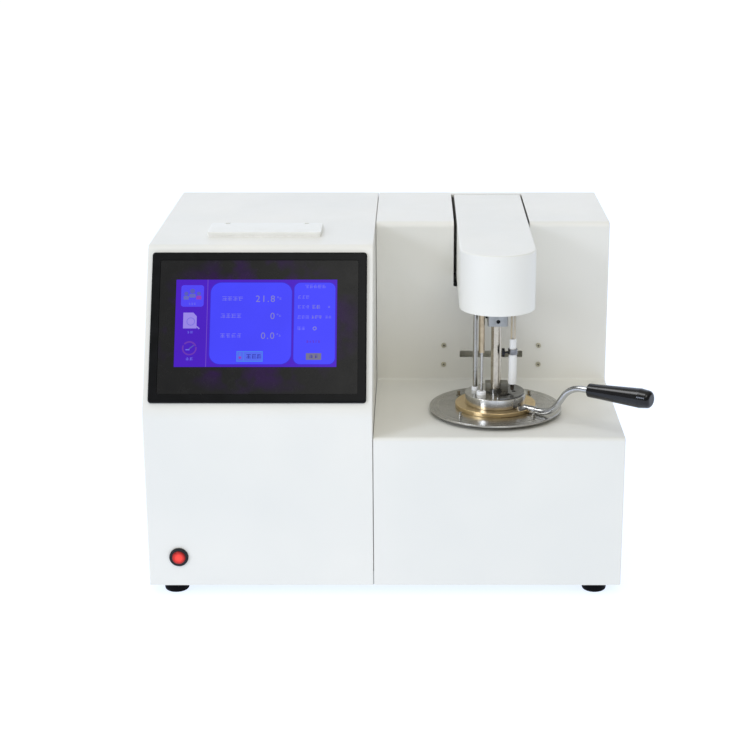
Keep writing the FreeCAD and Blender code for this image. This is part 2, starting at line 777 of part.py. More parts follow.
def right_cover():
    """Folded sheet shell of the table and the riser, open below, behind and to the left."""
    body = prism_x(right_outline(0), RIGHT_START, HOUSING_WIDTH)
    body = rounded_edges(body, EDGE_ROUND, lambda e: side_edge(e, HOUSING_WIDTH))
    hollow = prism_x(inset(right_outline(CUT), SHEET), RIGHT_START - CUT, HOUSING_WIDTH - SHEET)
    bath = head_rod(TABLE_HOLE_RADIUS, 0, 0, -CUT, CUT)
    x0 = HEAD_X - ARM_RADIUS - ARM_SLOT_LEFT
    x1 = HEAD_X + ARM_RADIUS + ARM_SLOT_RIGHT
    z0 = TABLE_TOP + ARM_BOTTOM - ARM_SLOT_DROP
    slot_front = prism_y(rectangle(x0, x1, z0, HOUSING_TOP + CUT, ARM_SLOT_CORNER),
                         RISER_SETBACK - CUT, RISER_SETBACK + RISER_TOP_RADIUS)
    slot_top = box(x0, x1, RISER_SETBACK, ARM_REAR + ARM_SLOT_REAR, HOUSING_TOP - CUT, HOUSING_TOP + CUT)
    wall_slot = prism_y(wall_slot_corners(0), RISER_SETBACK - CUT, RISER_SETBACK + CUT)
    holes = [rod(WALL_SCREW_SHANK + SNUG_GAP, p, p.add(Vector(0, 2 * CUT, 0))) for p in wall_screws(-CUT)]
    louvres = side_louvres(HOUSING_WIDTH - CUT, HOUSING_WIDTH + CUT)
    return body.cut([hollow, bath, slot_front, slot_top, wall_slot] + holes + louvres)


def rear_panel(x0, x1, cuts):
    """Flat rear wall with a fold along its top, set between the side walls."""
    z1 = HOUSING_TOP - SHEET - FIT_GAP
    plate = box(x0, x1, HOUSING_DEPTH - SHEET, HOUSING_DEPTH, HOUSING_BOTTOM, z1)
    fold = box(x0, x1, HOUSING_DEPTH - REAR_LEDGE, HOUSING_DEPTH, z1 - SHEET, z1)
    return joined([plate, fold]).cut(cuts)


def rear_panel_left():
    """Rear wall behind the electronics, with the fan's, inlet's and vents' openings."""
    y0 = HOUSING_DEPTH - CUT
    y1 = HOUSING_DEPTH + CUT
    fan = rod(FAN_BORE_RADIUS, Vector(FAN_X, HOUSING_DEPTH - CUT, HOUSING_BOTTOM + FAN_UP),
              Vector(FAN_X, HOUSING_DEPTH + CUT, HOUSING_BOTTOM + FAN_UP))
    inlet = inlet_block(INLET_BODY_WIDTH + 2 * FIT_GAP, INLET_BODY_HEIGHT + 2 * FIT_GAP, y0, y1, 0)
    vents = slots_y(REAR_SLOT_COUNT, REAR_SLOT_LENGTH, REAR_SLOT_WIDTH, REAR_SLOT_PITCH,
                    FAN_X - REAR_SLOT_LENGTH / 2, HOUSING_BOTTOM + REAR_SLOT_UP, y0, y1)
    return rear_panel(SHEET + FIT_GAP, LEFT_WIDTH - SHEET - FIT_GAP, [fan, inlet] + vents)


def rear_panel_right():
    """Rear wall behind the lift and the bath, with two groups of vents."""
    y0 = HOUSING_DEPTH - CUT
    y1 = HOUSING_DEPTH + CUT
    x0 = RIGHT_START + FIT_GAP
    middle = (RIGHT_START + HOUSING_WIDTH) / 2
    vents = []
    for centre in ((x0 + middle) / 2, (middle + HOUSING_WIDTH) / 2):
        vents += slots_y(REAR_SLOT_COUNT, REAR_SLOT_LENGTH, REAR_SLOT_WIDTH, REAR_SLOT_PITCH,
                         centre - REAR_SLOT_LENGTH / 2, HOUSING_BOTTOM + REAR_SLOT_UP, y0, y1)
    return rear_panel(x0, HOUSING_WIDTH - SHEET - FIT_GAP, vents)


def foot_points():
    """Centres of the four feet on the pan's underside."""
    points = []
    for x in (FOOT_INSET_X, HOUSING_WIDTH - FOOT_INSET_X):
        for y in (FOOT_INSET_Y, HOUSING_DEPTH - FOOT_INSET_Y):
            points.append(Vector(x, y, 0))
    return points


def base_pan():
    """Sheet floor with turned-up edges, vent slots and screw holes for the feet."""
    margin = SHEET + FIT_GAP
    x1 = HOUSING_WIDTH - margin
    y1 = HOUSING_DEPTH - margin
    z1 = HOUSING_BOTTOM + PAN_LIP
    outer = prism_z(rectangle(margin, x1, margin, y1, PAN_CORNER), HOUSING_BOTTOM, z1)
    inner = prism_z(rectangle(margin + SHEET, x1 - SHEET, margin + SHEET, y1 - SHEET, PAN_CORNER - SHEET),
                    PAN_TOP, z1 + CUT)
    cuts = [inner]
    for point in foot_points():
        cuts.append(rod(FOOT_SCREW_RADIUS, point, point.add(Vector(0, 0, PAN_TOP + CUT))))
    row = (PAN_SLOT_COUNT - 1) * PAN_SLOT_PITCH
    for centre in (LEFT_WIDTH / 2, (RIGHT_START + HOUSING_WIDTH) / 2):
        for i in range(PAN_SLOT_COUNT):
            x = centre - row / 2 + i * PAN_SLOT_PITCH
            y = HEAD_Y - PAN_SLOT_LENGTH / 2
            corners = rectangle(x - PAN_SLOT_WIDTH / 2, x + PAN_SLOT_WIDTH / 2, y, y + PAN_SLOT_LENGTH,
                                PAN_SLOT_WIDTH / 2 - SNUG_GAP)
            cuts.append(prism_z(corners, HOUSING_BOTTOM - CUT, PAN_TOP + CUT))
    return outer.cut(cuts)


def feet():
    """Four rubber feet with a sunk screw hole."""
    profile = [
        (FOOT_SCREW_RADIUS, FOOT_RECESS_DEPTH, 0),
        (FOOT_RECESS_RADIUS, FOOT_RECESS_DEPTH, 0),
        (FOOT_RECESS_RADIUS, 0, 0),
        (FOOT_BASE_RADIUS, 0, FOOT_ROUND),
        (FOOT_TOP_RADIUS, FOOT_HEIGHT, 0),
        (FOOT_SCREW_RADIUS, FOOT_HEIGHT, 0),
    ]
    return grouped([turned(profile, point) for point in foot_points()])


def screen_bezel():
    """Raised black frame with a rounded outer edge and a shelf that carries the glass."""
    frame = panel_slab(BEZEL_WIDTH, BEZEL_HEIGHT, 0, BEZEL_THICK, BEZEL_CORNER)
    frame = rounded_edges(frame, BEZEL_ROUND, lambda e: at_height(e, BEZEL_THICK))
    width = BEZEL_WIDTH - 2 * BEZEL_BORDER
    height = BEZEL_HEIGHT - 2 * BEZEL_BORDER
    seat = panel_slab(width, height, BEZEL_THICK - GLASS_SINK - GLASS_THICK, CUT, GLASS_CORNER + FIT_GAP)
    through = panel_slab(width - 2 * SCREEN_SHELF, height - 2 * SCREEN_SHELF, -CUT, CUT, GLASS_CORNER)
    return on_panel(frame.cut([seat, through]))


def touch_glass():
    """Glass plate that lies on the bezel's shelf."""
    width = BEZEL_WIDTH - 2 * BEZEL_BORDER - 2 * FIT_GAP
    height = BEZEL_HEIGHT - 2 * BEZEL_BORDER - 2 * FIT_GAP
    top = BEZEL_THICK - GLASS_SINK
    return on_panel(panel_slab(width, height, top - GLASS_THICK, top, GLASS_CORNER))


def display_module():
    """Display can with its driver board, face to face with the back of the glass."""
    top = BEZEL_THICK - GLASS_SINK - GLASS_THICK
    low = top - MODULE_THICK
    width = DISPLAY_WIDTH + 2 * MODULE_BORDER
    height = DISPLAY_HEIGHT + 2 * MODULE_BORDER
    can = panel_slab(width, height, low, top, GLASS_CORNER, DISPLAY_SHIFT_X, DISPLAY_SHIFT_UP)
    board = panel_slab(width - 2 * MODULE_BOARD_INSET, height - 2 * MODULE_BOARD_INSET,
                       low - MODULE_BOARD_THICK, low, 0, DISPLAY_SHIFT_X, DISPLAY_SHIFT_UP)
    back = low - MODULE_BOARD_THICK
    chips = []
    for shift in (-MODULE_CHIP, MODULE_CHIP):
        low = back - MODULE_CHIP_HEIGHT
        chips.append(panel_slab(MODULE_CHIP, MODULE_CHIP, low, back, 0, 2 * shift, shift / 2))
    return on_panel(joined([can, board] + chips))


def printer_body():
    """Open plastic case with a flange, hinge ears at the rear and a round paper well."""
    x0, x1, y0, y1 = printer_bounds(PRINTER_INSET)
    flange = prism_z(rectangle(x0, x1, y0, PRINTER_REAR + PRINTER_REAR_RIM, PRINTER_LID_CORNER),
                     HOUSING_TOP, HOUSING_TOP + PRINTER_FLANGE)
    inner = PRINTER_INSET + PRINTER_WALL + FIT_GAP
    cx0, cx1, cy0, cy1 = printer_bounds(inner)
    case = box(cx0, cx1, cy0, cy1, HOUSING_TOP - PRINTER_DEPTH, HOUSING_TOP)
    hx0, hx1, hy0, hy1 = printer_bounds(inner + PRINTER_WALL)
    axis = printer_roll_axis()
    well = rod(ROLL_RADIUS + ROLL_FLOOR_GAP, Vector(hx0, axis.y, axis.z), Vector(hx1, axis.y, axis.z))
    well_top = box(hx0, hx1, axis.y - ROLL_RADIUS, axis.y + ROLL_RADIUS, axis.z, HOUSING_TOP + CUT)
    mouth = box(hx0, hx1, hy0, hy1, platen_axis().z - PLATEN_RADIUS - FIT_GAP, HOUSING_TOP + CUT)
    ears = []
    seat = printer_hinge()
    reach = PRINTER_PIN_RADIUS + PRINTER_EAR_WALL
    for side in (-1, 1):
        x = PRINTER_X + side * (PRINTER_WIDTH / 2 - PRINTER_EAR_INSET)
        ear = box(x - PRINTER_EAR / 2, x + PRINTER_EAR / 2, seat.y - reach, seat.y + reach,
                  HOUSING_TOP, seat.z + PRINTER_PIN_RADIUS + PRINTER_EAR_CROWN)
        ears.append(ear)
    pin_start = Vector(x0 - CUT, seat.y, seat.z)
    pin_end = Vector(x1 + CUT, seat.y, seat.z)
    pins = rod(PRINTER_PIN_RADIUS + RUN_GAP, pin_start, pin_end)
    return joined([flange, case]).cut([well, well_top, mouth]).fuse(ears).cut(pins).removeSplitter()


def printer_roll_axis():
    """Middle of the paper roll."""
    y = PRINTER_REAR - PRINTER_INSET - 2 * PRINTER_WALL - FIT_GAP - ROLL_RADIUS - ROLL_FLOOR_GAP
    z = HOUSING_TOP - PRINTER_DEPTH + PRINTER_WALL + ROLL_RADIUS + ROLL_FLOOR_GAP
    return Vector(PRINTER_X, y, z)


def printer_hinge():
    """Middle of the flip cover's hinge line."""
    y = PRINTER_REAR - PRINTER_PIN_SETBACK
    return Vector(PRINTER_X, y, HOUSING_TOP + PRINTER_FLANGE + PRINTER_PIN_RADIUS + FIT_GAP)


def paper_roll():
    """Roll of paper with its hollow core."""
    axis = printer_roll_axis()
    ends = [Vector(axis.x + side * ROLL_LENGTH / 2, axis.y, axis.z) for side in (-1, 1)]
    longer = [Vector(axis.x + side * (ROLL_LENGTH / 2 + CUT), axis.y, axis.z) for side in (-1, 1)]
    return rod(ROLL_RADIUS, ends[0], ends[1]).cut(rod(ROLL_CORE_RADIUS, longer[0], longer[1]))


def printer_cover():
    """Flip cover with hinge pins and the two cheeks that carry the paper roller."""
    x0, x1, y0, y1 = printer_bounds(0)
    z1 = PRINTER_LID_BASE + PRINTER_LID_THICK
    lid = prism_z(rectangle(x0, x1, y0, y1, PRINTER_LID_CORNER), PRINTER_LID_BASE, z1)
    lid = rounded_edges(lid, PRINTER_LID_ROUND, lambda e: at_height(e, z1))
    seat = printer_hinge()
    notches = []
    pins = []
    for side in (-1, 1):
        x = PRINTER_X + side * (PRINTER_WIDTH / 2 - PRINTER_EAR_INSET)
        half = PRINTER_EAR / 2 + FIT_GAP
        front = seat.y - 2 * (PRINTER_PIN_RADIUS + PRINTER_EAR_WALL)
        notches.append(box(x - half, x + half, front, y1 + CUT, PRINTER_LID_BASE - CUT, z1 + CUT))
        pins.append(rod(PRINTER_PIN_RADIUS, Vector(x - side * PRINTER_PIN_LENGTH, seat.y, seat.z),
                        Vector(x + side * PRINTER_PIN_LENGTH, seat.y, seat.z)))
    roller = platen_axis()
    cheeks = []
    for side in (-1, 1):
        x = PRINTER_X + side * (PLATEN_LENGTH / 2 + PLATEN_JOURNAL / 2)
        cheek = box(x - PLATEN_CHEEK / 2, x + PLATEN_CHEEK / 2,
                    roller.y - PLATEN_CHEEK, roller.y + PLATEN_CHEEK,
                    roller.z - PLATEN_CHEEK, PRINTER_LID_BASE)
        cheeks.append(cheek)
    start = Vector(x0, roller.y, roller.z)
    end = Vector(x1, roller.y, roller.z)
    journal = rod(PLATEN_JOURNAL_RADIUS + RUN_GAP, start, end)
    return joined([lid.cut(notches)] + pins + [cheek.cut(journal) for cheek in cheeks])


def platen_axis():
    """Middle of the paper roller under the cover's front edge."""
    y = PRINTER_FRONT + PLATEN_SETBACK + PLATEN_RADIUS
    return Vector(PRINTER_X, y, PRINTER_LID_BASE - PLATEN_SETBACK)


def platen_roller():
    """Rubber paper roller with journals at both ends."""
    axis = platen_axis()
    half = PLATEN_LENGTH / 2
    barrel = rod(PLATEN_RADIUS, axis.add(Vector(-half, 0, 0)), axis.add(Vector(half, 0, 0)))
    reach = half + PLATEN_JOURNAL
    spindle = rod(PLATEN_JOURNAL_RADIUS, axis.add(Vector(-reach, 0, 0)), axis.add(Vector(reach, 0, 0)))
    return joined([barrel, spindle])


def button_point(y):
    """Point on the push button's axis."""
    return Vector(BUTTON_X, y, HOUSING_BOTTOM + BUTTON_UP)


def button_bezel():
    """Ring, barrel through the front wall and fixing nut behind it."""
    ring = rod(BUTTON_RING_RADIUS, button_point(-BUTTON_RING_THICK), button_point(0))
    front = [edge for edge in ring.Edges if edge.BoundBox.YMax < 0]
    ring = ring.makeFillet(BUTTON_RING_ROUND, front)
    barrel = rod(BUTTON_BARREL_RADIUS, button_point(0), button_point(BUTTON_BARREL_LENGTH))
    nut = hexagon_y(BUTTON_NUT_RADIUS, SHEET, SHEET + BUTTON_NUT_THICK)
    bore = rod(BUTTON_BORE_RADIUS, button_point(-CUT), button_point(BUTTON_BARREL_LENGTH + CUT))
    return joined([ring, barrel, nut]).cut(bore)


def hexagon_y(radius, y0, y1):
    """Six-sided nut round the button's axis."""
    corners = []
    for i in range(6):
        a, b = orbit(radius, 60 * i)
        corners.append((BUTTON_X + a, HOUSING_BOTTOM + BUTTON_UP + b, 0))
    return prism_y(corners, y0, y1)


def button_cap():
    """Domed lens that is pressed in."""
    cap = rod(BUTTON_CAP_RADIUS, button_point(-BUTTON_CAP_PROUD), button_point(BUTTON_CAP_DEPTH))
    front = [edge for edge in cap.Edges if edge.BoundBox.YMax < 0]
    return cap.makeFillet(BUTTON_CAP_ROUND, front)


def button_switch():
    """Switch body on the rear of the barrel with its two solder tabs."""
    y0 = BUTTON_BARREL_LENGTH
    y1 = y0 + BUTTON_BODY_LENGTH
    body = rod(BUTTON_BODY_RADIUS, button_point(y0), button_point(y1))
    tabs = []
    for side in (-1, 1):
        x = BUTTON_X + side * BUTTON_TAB_SPREAD
        z = HOUSING_BOTTOM + BUTTON_UP
        tabs.append(box(x - BUTTON_TAB_THICK / 2, x + BUTTON_TAB_THICK / 2, y1, y1 + BUTTON_TAB_LENGTH,
                        z - BUTTON_TAB_WIDTH / 2, z + BUTTON_TAB_WIDTH / 2))
    return joined([body] + tabs)


def board_pillars():
    """Four pillars under the control board."""
    pillars = []
    for x in (BOARD_X + BOARD_STANDOFF_INSET, BOARD_X + BOARD_WIDTH - BOARD_STANDOFF_INSET):
        for y in (BOARD_Y + BOARD_STANDOFF_INSET, BOARD_Y + BOARD_LENGTH - BOARD_STANDOFF_INSET):
            foot = Vector(x, y, PAN_TOP)
            pillars.append(rod(BOARD_STANDOFF_RADIUS, foot, Vector(x, y, PAN_TOP + BOARD_STANDOFF)))
    return pillars


def control_board():
    """Circuit board on four pillars with its processor, relays and edge connectors."""
    z0 = PAN_TOP + BOARD_STANDOFF
    z1 = z0 + BOARD_THICK
    pieces = [box(BOARD_X, BOARD_X + BOARD_WIDTH, BOARD_Y, BOARD_Y + BOARD_LENGTH, z0, z1)]
    middle_x = BOARD_X + BOARD_WIDTH / 2
    middle_y = BOARD_Y + BOARD_LENGTH / 2
    pieces.append(box(middle_x, middle_x + BOARD_CHIP, middle_y, middle_y + BOARD_CHIP,
                      z1, z1 + BOARD_CHIP_HEIGHT))
    for i in range(BOARD_PLUG_COUNT):
        y = BOARD_Y + BOARD_STANDOFF_INSET + BOARD_PLUG_WIDTH + i * (BOARD_PLUG_LENGTH + BOARD_PLUG_WIDTH / 2)
        pieces.append(box(BOARD_X, BOARD_X + BOARD_PLUG_WIDTH, y, y + BOARD_PLUG_LENGTH,
                          z1, z1 + BOARD_PLUG_HEIGHT))
    for i in range(BOARD_RELAY_COUNT):
        y = BOARD_Y + BOARD_STANDOFF_INSET + BOARD_PLUG_WIDTH + i * (BOARD_RELAY + BOARD_PLUG_WIDTH)
        x = BOARD_X + BOARD_WIDTH - BOARD_STANDOFF_INSET - BOARD_PLUG_WIDTH - BOARD_RELAY
        pieces.append(box(x, x + BOARD_RELAY, y, y + BOARD_RELAY, z1, z1 + BOARD_RELAY_HEIGHT))
    return joined(pieces + board_pillars())


def power_supply():
    """Closed supply case with vent slots in its top."""
    z1 = PAN_TOP + SUPPLY_HEIGHT
    case = box(SUPPLY_X, SUPPLY_X + SUPPLY_WIDTH, SUPPLY_Y, SUPPLY_Y + SUPPLY_LENGTH, PAN_TOP, z1)
    case = rounded_edges(case, SUPPLY_SHELL, lambda e: at_height(e, z1))
    row = (SUPPLY_SLOT_COUNT - 1) * SUPPLY_SLOT_PITCH
    cuts = []
    for i in range(SUPPLY_SLOT_COUNT):
        x = SUPPLY_X + SUPPLY_WIDTH / 2 - row / 2 + i * SUPPLY_SLOT_PITCH
        y = SUPPLY_Y + SUPPLY_LENGTH / 2 - SUPPLY_SLOT_LENGTH / 2
        cuts.append(box(x - SUPPLY_SLOT_WIDTH / 2, x + SUPPLY_SLOT_WIDTH / 2, y, y + SUPPLY_SLOT_LENGTH,
                        z1 - SUPPLY_SLOT_DEPTH, z1 + CUT))
    return case.cut(cuts)


def inlet_block(width, height, y0, y1, radius):
    """Upright block on the inlet's axis."""
    x = INLET_X
    z = HOUSING_BOTTOM + INLET_UP
    return prism_y(rectangle(x - width / 2, x + width / 2, z - height / 2, z + height / 2, radius), y0, y1)


def mains_inlet():
    """Three-pin inlet with a flange, a socket and a fuse drawer below it."""
    y = HOUSING_DEPTH
    z = HOUSING_BOTTOM + INLET_UP
    flange = inlet_block(INLET_FLANGE_WIDTH, INLET_FLANGE_HEIGHT, y, y + INLET_FLANGE_THICK, INLET_CORNER)
    body = inlet_block(INLET_BODY_WIDTH, INLET_BODY_HEIGHT, y - INLET_BODY_DEPTH, y, 0)
    half = INLET_SOCKET_WIDTH / 2
    low = z + INLET_SOCKET_RISE - INLET_SOCKET_HEIGHT / 2
    high = low + INLET_SOCKET_HEIGHT
    floor = y + INLET_FLANGE_THICK - INLET_SOCKET_DEPTH
    corners = [(INLET_X - half, low, 0), (INLET_X + half, low, 0),
               (INLET_X + half, high, INLET_SOCKET_CORNER), (INLET_X - half, high, INLET_SOCKET_CORNER)]
    socket = prism_y(corners, floor, y + INLET_FLANGE_THICK + CUT)
    pins = []
    places = [(-INLET_PIN_SPREAD, INLET_PIN_DROP), (0, -INLET_PIN_DROP), (INLET_PIN_SPREAD, INLET_PIN_DROP)]
    for shift, drop in places:
        x = INLET_X + shift
        middle = (low + high) / 2 - drop
        pins.append(box(x - INLET_PIN_WIDTH / 2, x + INLET_PIN_WIDTH / 2, floor, floor + INLET_PIN_LENGTH,
                        middle - INLET_PIN_HEIGHT / 2, middle + INLET_PIN_HEIGHT / 2))
    fuse_low = z - FUSE_DROP - FUSE_HEIGHT / 2
    fuse = box(INLET_X - FUSE_WIDTH / 2, INLET_X + FUSE_WIDTH / 2, y, y + INLET_FLANGE_THICK + FUSE_PROUD,
               fuse_low, fuse_low + FUSE_HEIGHT)
    return joined([flange, body, fuse]).cut(socket).fuse(pins).removeSplitter()


def fan_point(x, y, z):
    """Point given from the fan's axis at the inner face of the rear panel, y counted inwards."""
    return Vector(FAN_X + x, HOUSING_DEPTH - SHEET - y, HOUSING_BOTTOM + FAN_UP + z)


def fan_rod(radius, x, z, y0, y1):
    """Bar along the fan's axis."""
    return rod(radius, fan_point(x, y0, z), fan_point(x, y1, z))


def fan_corners():
    """Offsets of the four fixing holes."""
    half = FAN_HOLE_PITCH / 2
    return [(half, half), (-half, half), (-half, -half), (half, -half)]


def fan_frame():
    """Square frame with its round duct and the spider that holds the rotor's bearing."""
    x0 = FAN_X - FAN_SIZE / 2
    z0 = HOUSING_BOTTOM + FAN_UP - FAN_SIZE / 2
    y1 = HOUSING_DEPTH - SHEET
    frame = prism_y(rectangle(x0, x0 + FAN_SIZE, z0, z0 + FAN_SIZE, FAN_CORNER), y1 - FAN_DEPTH, y1)
    cuts = [fan_rod(FAN_BORE_RADIUS, 0, 0, -CUT, FAN_DEPTH + CUT)]
    cuts += [fan_rod(FAN_HOLE_RADIUS, x, z, -CUT, FAN_DEPTH + CUT) for x, z in fan_corners()]
    inner = FAN_DEPTH - FAN_SPIDER_THICK
    spider = [fan_rod(FAN_HUB_RADIUS, 0, 0, inner, FAN_DEPTH)]
    for i in range(FAN_SPIDER_COUNT):
        half = FAN_SPIDER_WIDTH / 2
        arm = box(-half, half, -FAN_SPIDER_THICK, 0, 0, FAN_BORE_RADIUS + SHEET)
        arm.rotate(Vector(0, 0, 0), Vector(0, 1, 0), 45 + 360 * i / FAN_SPIDER_COUNT)
        arm.translate(fan_point(0, inner, 0))
        spider.append(arm)
    bearing = fan_rod(FAN_SHAFT_RADIUS + RUN_GAP, 0, 0, inner - CUT, FAN_DEPTH + CUT)
    return joined([frame.cut(cuts)] + spider).cut(bearing)


def fan_blade():
    """One twisted blade, lofted from the hub to the tip."""
    sections = []
    root = FAN_HUB_RADIUS - FAN_HUB_WALL
    for radius, turn in ((root, FAN_BLADE_ROOT_TURN), (FAN_BLADE_RADIUS, FAN_BLADE_TIP_TURN)):
        half = FAN_BLADE_DEPTH / 2
        drift = half / math.tan(math.radians(90 - turn))
        thick = FAN_BLADE_THICK / 2
        points = [Vector(-drift - thick, -half, radius), Vector(-drift + thick, -half, radius),
                  Vector(drift + thick, half, radius), Vector(drift - thick, half, radius)]
        sections.append(Part.makePolygon(points + [points[0]]))
    return Part.makeLoft(sections, True, True)


def fan_rotor():
    """Hub cup with its blades and shaft."""
    y0 = FAN_SIDE_GAP
    y1 = y0 + FAN_HUB_DEPTH
    hub = fan_rod(FAN_HUB_RADIUS, 0, 0, y0, y1)
    outer = [edge for edge in hub.Edges if edge.BoundBox.YMin > HOUSING_DEPTH - SHEET - y0 - SNUG_GAP]
    hub = hub.makeFillet(FAN_HUB_ROUND, outer)
    hollow = fan_rod(FAN_HUB_RADIUS - FAN_HUB_WALL, 0, 0, y0 + FAN_HUB_WALL, y1 + CUT)
    shaft = fan_rod(FAN_SHAFT_RADIUS, 0, 0, y0, FAN_DEPTH)
    pieces = [hub.cut(hollow), shaft]
    middle = y0 + FAN_HUB_DEPTH / 2
    for i in range(FAN_BLADE_COUNT):
        blade = fan_blade()
        blade.rotate(Vector(0, 0, 0), Vector(0, 1, 0), 360 * i / FAN_BLADE_COUNT)
        blade.translate(fan_point(0, middle, 0))
        pieces.append(blade)
    return joined(pieces)


def fan_guard():
    """Wire guard of concentric rings on four spokes that end in screw eyes."""
    y = -SHEET - GUARD_STANDOFF
    pieces = []
    for i in range(GUARD_RING_COUNT):
        radius = GUARD_RING_FIRST + i * GUARD_RING_PITCH
        centre = fan_point(0, y - GUARD_WELD, 0)
        pieces.append(Part.makeTorus(radius, GUARD_WIRE_RADIUS, centre, Vector(0, 1, 0)))
    eye_y = -SHEET - GUARD_WIRE_RADIUS
    for x, z in fan_corners():
        start = Vector(x, 0, z)
        start.normalize()
        reach = GUARD_RING_FIRST - GUARD_WIRE_RADIUS / 2
        inner = fan_point(start.x * reach, y, start.z * reach)
        knee = fan_point(x * GUARD_KNEE_SHARE, y, z * GUARD_KNEE_SHARE)
        eye = fan_point(x, eye_y, z)
        pieces.append(rod(GUARD_WIRE_RADIUS, inner, knee))
        pieces.append(Part.makeSphere(GUARD_WIRE_RADIUS, knee))
        pieces.append(rod(GUARD_WIRE_RADIUS, knee, eye))
        pieces.append(fan_rod(GUARD_EYE_RADIUS, x, z, -SHEET, -SHEET - 2 * GUARD_WIRE_RADIUS))
    holes = [fan_rod(FAN_HOLE_RADIUS, x, z, CUT, -2 * CUT) for x, z in fan_corners()]
    return joined(pieces).cut(holes)


def tray_corners():
    """Offsets of the legs under the bath's tray."""
    half = TRAY_SIZE / 2 - LEG_INSET
    return [(half, half), (-half, half), (-half, -half), (half, -half)]


def bath_tray():
    """Plate that carries the bath, on four legs from the pan."""
    half = TRAY_SIZE / 2
    z0 = TABLE_TOP + BLOCK_BOTTOM - TRAY_THICK
    plate = prism_z(rectangle(HEAD_X - half, HEAD_X + half, HEAD_Y - half, HEAD_Y + half, TRAY_CORNER),
                    z0, z0 + TRAY_THICK)
    legs = []
    for x, y in tray_corners():
        foot = Vector(HEAD_X + x, HEAD_Y + y, PAN_TOP)
        legs.append(rod(LEG_RADIUS, foot, Vector(HEAD_X + x, HEAD_Y + y, z0)))
    return joined([plate] + legs)


def bath_block():
    """Cast heating block with the cup's air chamber and ribs under its floor."""
    profile = [
        (0, BLOCK_BOTTOM + BLOCK_FLOOR, 0),
        (0, BLOCK_BOTTOM + BLOCK_RIB_HEIGHT, 0),
        (BLOCK_RADIUS, BLOCK_BOTTOM + BLOCK_RIB_HEIGHT, CUP_ROUND),
        (BLOCK_RADIUS, DISC_LIFT, CUP_ROUND),
        (BLOCK_BORE_RADIUS, DISC_LIFT, 0),
        (BLOCK_BORE_RADIUS, BLOCK_BOTTOM + BLOCK_FLOOR, CUP_ROUND),
    ]
    pieces = [turned(profile, head(0, 0, 0))]
    for i in range(BLOCK_RIB_COUNT):
        rib = box(0, BLOCK_RADIUS - CUP_ROUND, -BLOCK_RIB_WIDTH / 2, BLOCK_RIB_WIDTH / 2, 0, BLOCK_RIB_HEIGHT)
        rib.rotate(Vector(0, 0, 0), Vector(0, 0, 1), 360 * i / BLOCK_RIB_COUNT)
        rib.translate(head(0, 0, BLOCK_BOTTOM))
        pieces.append(rib)
    return joined(pieces)


def band_heater():
    """Clamped heater band round the block, split at the rear between two ears."""
    inner = BLOCK_RADIUS + SNUG_GAP
    z0 = BLOCK_BOTTOM + HEATER_RISE
    z1 = z0 + HEATER_HEIGHT
    band = head_rod(inner + HEATER_THICK, 0, 0, z0, z1)
    reach = inner + HEATER_THICK + HEATER_EAR
    wide = HEATER_EAR_GAP / 2 + HEATER_THICK / 2
    corner = head(-wide, 0, z0)
    ears = box(corner.x, corner.x + 2 * wide, corner.y, corner.y + reach, corner.z, corner.z + HEATER_HEIGHT)
    gap = box(HEAD_X - HEATER_EAR_GAP / 2, HEAD_X + HEATER_EAR_GAP / 2, HEAD_Y, HEAD_Y + reach + CUT,
              corner.z - CUT, corner.z + HEATER_HEIGHT + CUT)
    return joined([band, ears]).cut([head_rod(inner, 0, 0, z0 - CUT, z1 + CUT), gap])


def bath_jacket():
    """Insulating ring that stands on the tray round the heater."""
    ring = head_rod(JACKET_RADIUS, 0, 0, BLOCK_BOTTOM, BLOCK_BOTTOM + JACKET_HEIGHT)
    bore = head_rod(JACKET_RADIUS - JACKET_WALL, 0, 0, BLOCK_BOTTOM - CUT, BLOCK_BOTTOM + JACKET_HEIGHT + CUT)
    x = HEATER_EAR_GAP / 2 + HEATER_THICK / 2 + SHEET
    ear_room = box(HEAD_X - x, HEAD_X + x, HEAD_Y, HEAD_Y + JACKET_RADIUS - SHEET,
                   TABLE_TOP + BLOCK_BOTTOM - CUT, TABLE_TOP + BLOCK_BOTTOM + JACKET_HEIGHT + CUT)
    return ring.cut([bore, ear_room])


def bath_plate():
    """Polished disc that covers the bath and carries the cup's flange."""
    hole = CUP_OUTER_RADIUS + DISC_HOLE_GAP
    profile = [
        (hole, DISC_LIFT, 0),
        (DISC_RADIUS, DISC_LIFT, DISC_EDGE_ROUND),
        (DISC_RADIUS, DISC_TOP, DISC_EDGE_ROUND),
        (hole, DISC_TOP, 0),
    ]
    return turned(profile, head(0, 0, 0))


def bath_posts():
    """Four fixing posts with washers on the disc."""
    posts = []
    for x in (-POST_PITCH / 2, POST_PITCH / 2):
        for y in (-POST_PITCH / 2, POST_PITCH / 2):
            washer = head_rod(POST_WASHER_RADIUS, x, y, DISC_TOP, DISC_TOP + POST_WASHER_THICK)
            stud = head_rod(POST_RADIUS, x, y, DISC_TOP, DISC_TOP + POST_HEIGHT)
            posts.append(joined([washer, stud]))
    return grouped(posts)


def cup():
    """Brass test cup: thin wall, thick floor and the flange that rests on the disc."""
    profile = [
        (0, CUP_INSIDE, 0),
        (0, CUP_BOTTOM, 0),
        (CUP_OUTER_RADIUS, CUP_BOTTOM, CUP_ROUND),
        (CUP_OUTER_RADIUS, DISC_TOP, 0),
        (CUP_FLANGE_RADIUS, DISC_TOP, CUP_FLANGE_ROUND),
        (CUP_FLANGE_RADIUS, FLANGE_TOP, CUP_FLANGE_ROUND),
        (CUP_OUTER_RADIUS, FLANGE_TOP, 0),
        (CUP_OUTER_RADIUS, CUP_RIM, 0),
        (CUP_BORE_RADIUS, CUP_RIM, 0),
        (CUP_BORE_RADIUS, CUP_INSIDE, CUP_ROUND),
    ]
    return turned(profile, head(0, 0, 0))


